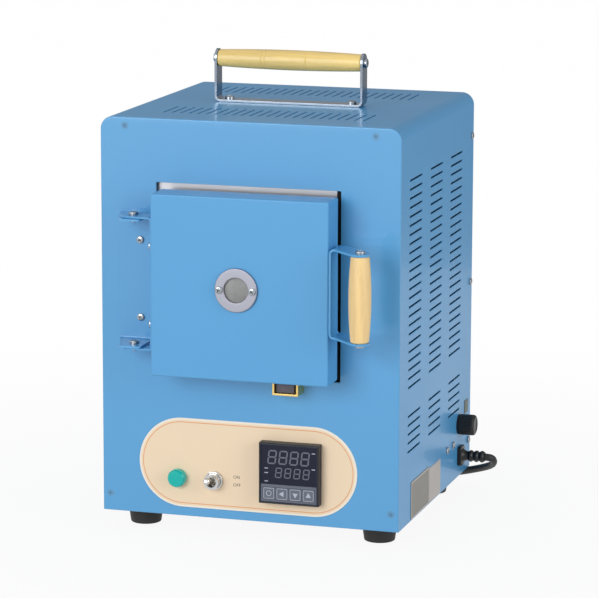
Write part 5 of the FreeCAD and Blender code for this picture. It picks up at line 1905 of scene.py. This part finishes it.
@dataclass
class Door:
    """Drawn cover over a fibre block, with a peephole, a handle and half of the hinge."""

    size: float = 141.0
    middle: Flat = (2.6, 204.0)
    front: float = -34.0
    back: float = -8.5
    sheet: float = 1.2
    ease: float = 1.2
    peephole: Flat = (1.0, 204.0)
    peephole_bore: float = 11.4
    ring_profile: tuple[Flat, ...] = ((9.6, 0.0), (16.9, 0.0), (16.9, 2.4), (9.6, 2.4))
    ring_screw: float = 13.2
    handle_sheet: float = 1.8
    handle_bend: float = 4.0
    handle_nose: float = 7.5
    handle_front: float = -33.0
    handle_rear: Flat = (-14.0, -29.0)
    grip_axis: Flat = (101.0, -45.0)
    grip_radii: Flat = (7.0, 8.6)
    leaf_sheet: float = 1.6
    leaf_bend: float = 2.0
    leaf_nose: float = 9.5
    leaf_half: float = 10.25
    leaf_middle: float = -20.75
    leaf_screw: Flat = (-69.5, -24.5)

    def cover(self) -> None:
        """Tray: rounded squares carried round its edges and back inside, with a bore."""
        x, z = self.middle
        half = self.size / 2
        outline = rectangle((x - half, z - half), (x + half, z + half), 1.6, 5)
        levels = [(step, self.front + depth) for step, depth in ease_steps(self.ease, 4)[::-1]]
        levels += [(0.0, self.back - 0.2), (0.2, self.back), (self.sheet, self.back)]
        levels += [(self.sheet, self.front + self.sheet)]
        surface = Surface()
        surface.rings(np.stack([lifted(inset(outline, step), level, Facing.FRONT)
                                for step, level in levels]))
        hole = circle(self.peephole, self.peephole_bore)
        surface.rings(np.stack([lifted(hole, level, Facing.FRONT)
                                for level in (self.front, self.front + self.sheet)]))
        mesh = surface.mesh("door_tray", fill=True)
        piece(mesh, DOOR_PAINT, ["door_cover"], body="door")

    def ring(self) -> None:
        """Peephole ring with rounded edges."""
        x, z = self.peephole
        mesh = lathe("peephole_rim", self.ring_profile, (x, self.front, z), (0, -1, 0), 0.7, 72,
                     closed=True)
        piece(mesh, SATIN_RING, ["peephole_ring"], body="door")

    def handle(self) -> None:
        """Bar along a U whose arms lean forward and end in round noses about the grip's axis."""
        low, high = node_box("door_handle_bracket")
        inner, tip = low[0], high[0]
        grip_x, grip_y = self.grip_axis
        nose, sheet = self.handle_nose, self.handle_sheet
        wall = inner + sheet / 2
        bottom, top = low[2] + sheet / 2, high[2] - sheet / 2
        points, normals = bent_path([(tip, bottom), (wall, bottom), (wall, top), (tip, top)],
                                    self.handle_bend - sheet / 2)
        turn = grip_x + nose * np.sin(np.linspace(0, math.pi / 2, 12))
        noses = (np.stack([turn[::-1], np.full(12, bottom)], -1),
                 np.stack([turn, np.full(12, top)], -1))
        points, normals = with_noses(points, normals, points[:, 0] < grip_x, noses, (0.0, 1.0))
        across = points[:, 0]
        step = nose * math.sqrt(0.5)
        round_part = np.sqrt(np.clip(nose ** 2 - (across - grip_x) ** 2, 0, None))
        front, (rear, rear_end) = self.handle_front, self.handle_rear
        front_edge = np.interp(across, [inner, inner + 5, grip_x - step],
                               [front, front, grip_y - step])
        front_edge = np.where(across > grip_x - step, grip_y - round_part, front_edge)
        rear_edge = np.interp(across, [inner, inner + 8, grip_x - 4, grip_x + step],
                              [rear, rear, rear_end, grip_y + step])
        rear_edge = np.where(across > grip_x + step, grip_y + round_part, rear_edge)
        half_width = np.maximum((rear_edge - front_edge) / 2, BAR_TIP)
        centre = (front_edge + rear_edge) / 2
        mesh = ribbon("handle_bar", upright(points, centre), upright(normals, 0.0), (0, 1, 0),
                      half_width, sheet, 0.3)
        piece(mesh, DOOR_PAINT, ["door_handle_bracket"], body="door")
        grip_low, grip_high = node_box("door_grip")
        mesh = turned_grip("door_grip_turned", grip_high[2] - grip_low[2], *self.grip_radii,
                           (grip_x, grip_y, grip_low[2]), (0, 0, 1))
        piece(mesh, WOOD_UPRIGHT, ["door_grip"], body="door")

    def hinge_leaf(self) -> None:
        """Bar along the door's flange with a round-nosed lug at each end, pierced by the pivots."""
        low, high = node_box("door_hinge_bracket")
        nose, sheet = self.leaf_nose, self.leaf_sheet
        x, y = HINGE_PIVOT
        wall = high[0] - sheet / 2
        bottom, top = low[2] + sheet / 2, high[2] - sheet / 2
        points, normals = bent_path([(low[0], bottom), (wall, bottom), (wall, top), (low[0], top)],
                                    self.leaf_bend)
        turn = x - nose * np.sin(np.linspace(0, math.pi / 2, 12))
        noses = (np.stack([turn[::-1], np.full(12, bottom)], -1),
                 np.stack([turn, np.full(12, top)], -1))
        points, normals = with_noses(points, normals, points[:, 0] > x, noses, (0.0, 1.0))
        round_part = np.sqrt(np.clip(nose ** 2 - np.minimum(points[:, 0] - x, 0) ** 2, 0, None))
        share = np.clip((points[:, 0] - (high[0] - 4.0)) / 3.0, 0, 1)
        half_width = np.maximum(round_part * (1 - share) + self.leaf_half * share, BAR_TIP)
        centre = y * (1 - share) + self.leaf_middle * share
        mesh = ribbon("hinge_leaf", upright(points, centre), upright(normals, 0.0), (0, 1, 0),
                      half_width, sheet, 0.25)
        piece(mesh, DOOR_PAINT, ["door_hinge_bracket"], body="door")

    def fasteners(self) -> None:
        """Screws of the peephole ring, the hinge leaf and the grip."""
        x, z = self.peephole
        face = self.front - self.ring_profile[2][1]
        heads = [(M3_PAN, (x + side * self.ring_screw, face, z), (0, -1, 0)) for side in (-1, 1)]
        heads += [(M4_PAN, (*self.leaf_screw, level), (-1, 0, 0)) for level in HINGE_SCREW_LEVELS]
        low, high = node_box("door_handle_bracket")
        heads += [(M4_PAN, (*self.grip_axis, level), (0, 0, way))
                  for level, way in ((low[2], -1), (high[2], 1))]
        piece(screws("door_screw_heads", heads), SCREW_STEEL, ["door_screws"],
              body="door")

    def build(self) -> None:
        """Makes the door."""
        self.cover()
        self.ring()
        self.handle()
        self.hinge_leaf()
        self.fasteners()
        eased_copy("door_insulation", FIBRE, 0.8, FOLD_ANGLE, body="door")
        eased_copy("door_inner_plate", STAINLESS, 0.15, FOLD_ANGLE, body="door")


@dataclass
class HingeAndCatch:
    """Fixed channel of the hinge, its pivots, and the magnetic catch."""

    sheet: float = 1.6
    bend: float = 2.0
    lug: Flat = (10.0, 12.0)
    pivot_drops: Flat = (6.1, -2.6)
    pin_profile: tuple[Flat, ...] = ((0.0, 0.1), (2.0, 0.1), (2.0, -5.6), (1.6, -6.0), (0.0, -6.0))
    magnet_reach: float = 4.0
    magnet_trim: tuple[float, float, float] = (1.7, 0.4, 0.6)

    def channel(self) -> None:
        """Bar along a channel whose lugs taper forward to rounded corners."""
        low, high = node_box("hinge_bracket")
        front, root, inner = low[1], low[0], high[0]
        wall = -self.sheet / 2
        bottom, top = low[2] + self.sheet / 2, high[2] - self.sheet / 2
        corners = [(front, bottom), (wall, bottom), (wall, top), (front, top)]
        points, normals = bent_path(corners, self.bend)
        depth, reach = -points[:, 0], -front
        marks = [0.0, reach - 2, reach - 0.6, reach]
        lean, end = self.lug
        left = np.interp(depth, marks, [root, root + lean, root + lean + 0.8, root + end])
        right = np.interp(depth, marks, [inner, inner, inner - 0.6, inner - 2])
        path = np.stack([(left + right) / 2, points[:, 0], points[:, 1]], -1)
        thick = np.stack([np.zeros(len(points)), normals[:, 0], normals[:, 1]], -1)
        mesh = ribbon("hinge_channel", path, thick, (1, 0, 0), (right - left) / 2, self.sheet, 0.25)
        piece(mesh, CASE_PAINT, ["hinge_bracket"])

    def pivots(self) -> None:
        """Round-headed pivot screws, one through each pair of lugs."""
        low, high = node_box("hinge_pivots")
        surface = Surface()
        for level, drop in zip((low[2], high[2]), self.pivot_drops):
            seat = (*HINGE_PIVOT, level + drop)
            surface.rings(M4_PAN.rings(seat, (0, 0, 1), 25.0), caps=(True, True))
            surface.rings(lathe_rings(self.pin_profile, seat, (0, 0, 1), 32))
        piece(surface.mesh("pivot_screws"), SCREW_STEEL, ["hinge_pivots"])

    def build(self) -> None:
        """Makes the hinge and the catch."""
        self.channel()
        self.pivots()
        eased_copy("catch_yoke", YELLOW_ZINC, 0.3)
        low, high = node_box("catch_magnet")
        left, right, top = self.magnet_trim
        outline = rectangle((low[0] - left, low[2]), (high[0] - right, high[2] - top), 0.4, 3)
        mesh = plate("magnet_block", outline, (low[1] - self.magnet_reach, high[1]), Facing.FRONT,
                     0.4)
        piece(mesh, FERRITE, ["catch_magnet"])


@dataclass
class FuseCap:
    """Ribbed screw cap of the fuse holder."""

    middle: Flat = (187.5, 59.5)
    radius: float = 8.5
    seat: float = 121.3
    end: float = 134.4
    ribs: int = 20
    rib_share: float = 0.045
    corner: float = 2.2
    dish: float = 0.6

    def build(self) -> None:
        """Makes the cap: a rounded profile turned round x.

        Along its side the radius is multiplied by 1 - share (1 - |cos(n t / 2)|).
        """
        corner, dish = self.corner, self.dish
        length = self.end - self.seat
        ease = ease_steps(corner, 6)
        side = np.stack([np.full(9, self.radius), np.linspace(0.4, length - corner, 9)], -1)
        crown = np.stack([self.radius - ease[:, 0], length - ease[:, 1]], -1)[1:]
        brim = self.radius - corner
        hollow = [(brim - dish, length), (brim - 2 * dish, length - 0.5), (0.0, length - dish)]
        profile = np.concatenate([[(0.0, 0.0), (self.radius - 0.4, 0.0)], side, crown, hollow])
        rings = lathe_rings(profile, (0.0, 0.0, 0.0), (1, 0, 0), 160)
        turn = np.arctan2(rings[..., 2], rings[..., 1])
        share = np.where(profile[:, 0] > self.radius - 1.4, self.rib_share, 0.0)[:, None]
        rings[..., 1:] *= (1 - share * (1 - np.abs(np.cos(turn * self.ribs / 2))))[..., None]
        surface = Surface()
        surface.rings(rings + np.array([self.seat, *self.middle]))
        piece(surface.mesh("fuse_knob_cap"), BLACK_PLASTIC, ["fuse_cap"],
              body="fuse_knob", angle=40.0)


@dataclass
class SidePlates:
    """Bare plates on the right side: low and high edge along y, low and high edge along z."""

    large: tuple[float, float, float, float] = (36.3, 90.8, 16.6, 46.6)
    pale: tuple[float, float, float, float] = (92.2, 127.4, 16.6, 44.6)
    small: tuple[float, float, float, float] = (205.4, 216.6, 64.0, 75.0)
    thickness: float = 0.4
    rim: float = 1.3
    rim_span: Flat = (0.6, 0.35)
    rim_inset: float = 0.2

    def build(self) -> None:
        """Makes each plate as a thin eased sheet, the largest with a raised rim."""
        kinds = (("large_plate", self.large, PLATE_METAL), ("pale_plate", self.pale, PLATE_PALE),
                 ("small_plate", self.small, PLATE_DARK))
        for name, (y0, y1, z0, z1), finish in kinds:
            outline = rectangle((y0, z0), (y1, z1), 0.8, 4)
            mesh = plate(name, outline, (CASE_SIDE + self.thickness, CASE_SIDE), Facing.SIDE, 0.1)
            piece(mesh, finish)
        y0, y1, z0, z1 = self.large
        step = self.rim_inset
        rim = rectangle((y0 + step, z0 + step), (y1 - step, z1 - step), 0.7, 4)
        span = tuple(CASE_SIDE + rise for rise in self.rim_span)
        mesh = plate("large_plate_rim", rim, span, Facing.SIDE, 0.08, [inset(rim, self.rim)], 0.08)
        piece(mesh, PLATE_PALE)


# CAD nodes that keep their shape

NODE_FINISHES: dict[str, Finish] = {
    "pilot_lamp_body": WHITE_PLASTIC, "toggle_switch_body": NICKEL,
    "controller_clamp": BLACK_PLASTIC, "furnace_casing": GALVANISED, "insulation_boards": FIBRE,
    "rear_insulation": FIBRE, "thermocouple": HEARTH, "heater_terminals": SCREW_STEEL,
    "furnace_rails": GALVANISED, "shelf_plate": GALVANISED, "shelf_posts": GALVANISED,
    "solid_state_relay": RELAY_PLASTIC, "terminal_block": WHITE_PLASTIC,
    "fuse_holder_body": BLACK_PLASTIC, "fuse_link": GLASS_TUBE, "peephole_window": MICA,
    "peephole_tube": STAINLESS}


def dress_nodes() -> None:
    """Gives every CAD node that still shows its own finish."""
    for name, finish in NODE_FINISHES.items():
        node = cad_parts[name]
        material = finish.material()
        if node.material_slots:
            for slot in node.material_slots:
                slot.material = material
        else:
            node.data.materials.append(material)
        log.info("%s: %s", name, finish.name)


def main() -> None:
    """Builds the studio and the kiln in order."""
    logging.basicConfig(level=logging.INFO, format="%(name)s: %(message)s")
    Studio().build()
    PowerLead().build()
    Case().build()
    CarryHandle().build()
    ControlPanel().build()
    Furnace().build()
    Door().build()
    HingeAndCatch().build()
    SidePlates().build()
    FuseCap().build()
    dress_nodes()


if __name__ == "__main__":
    main()
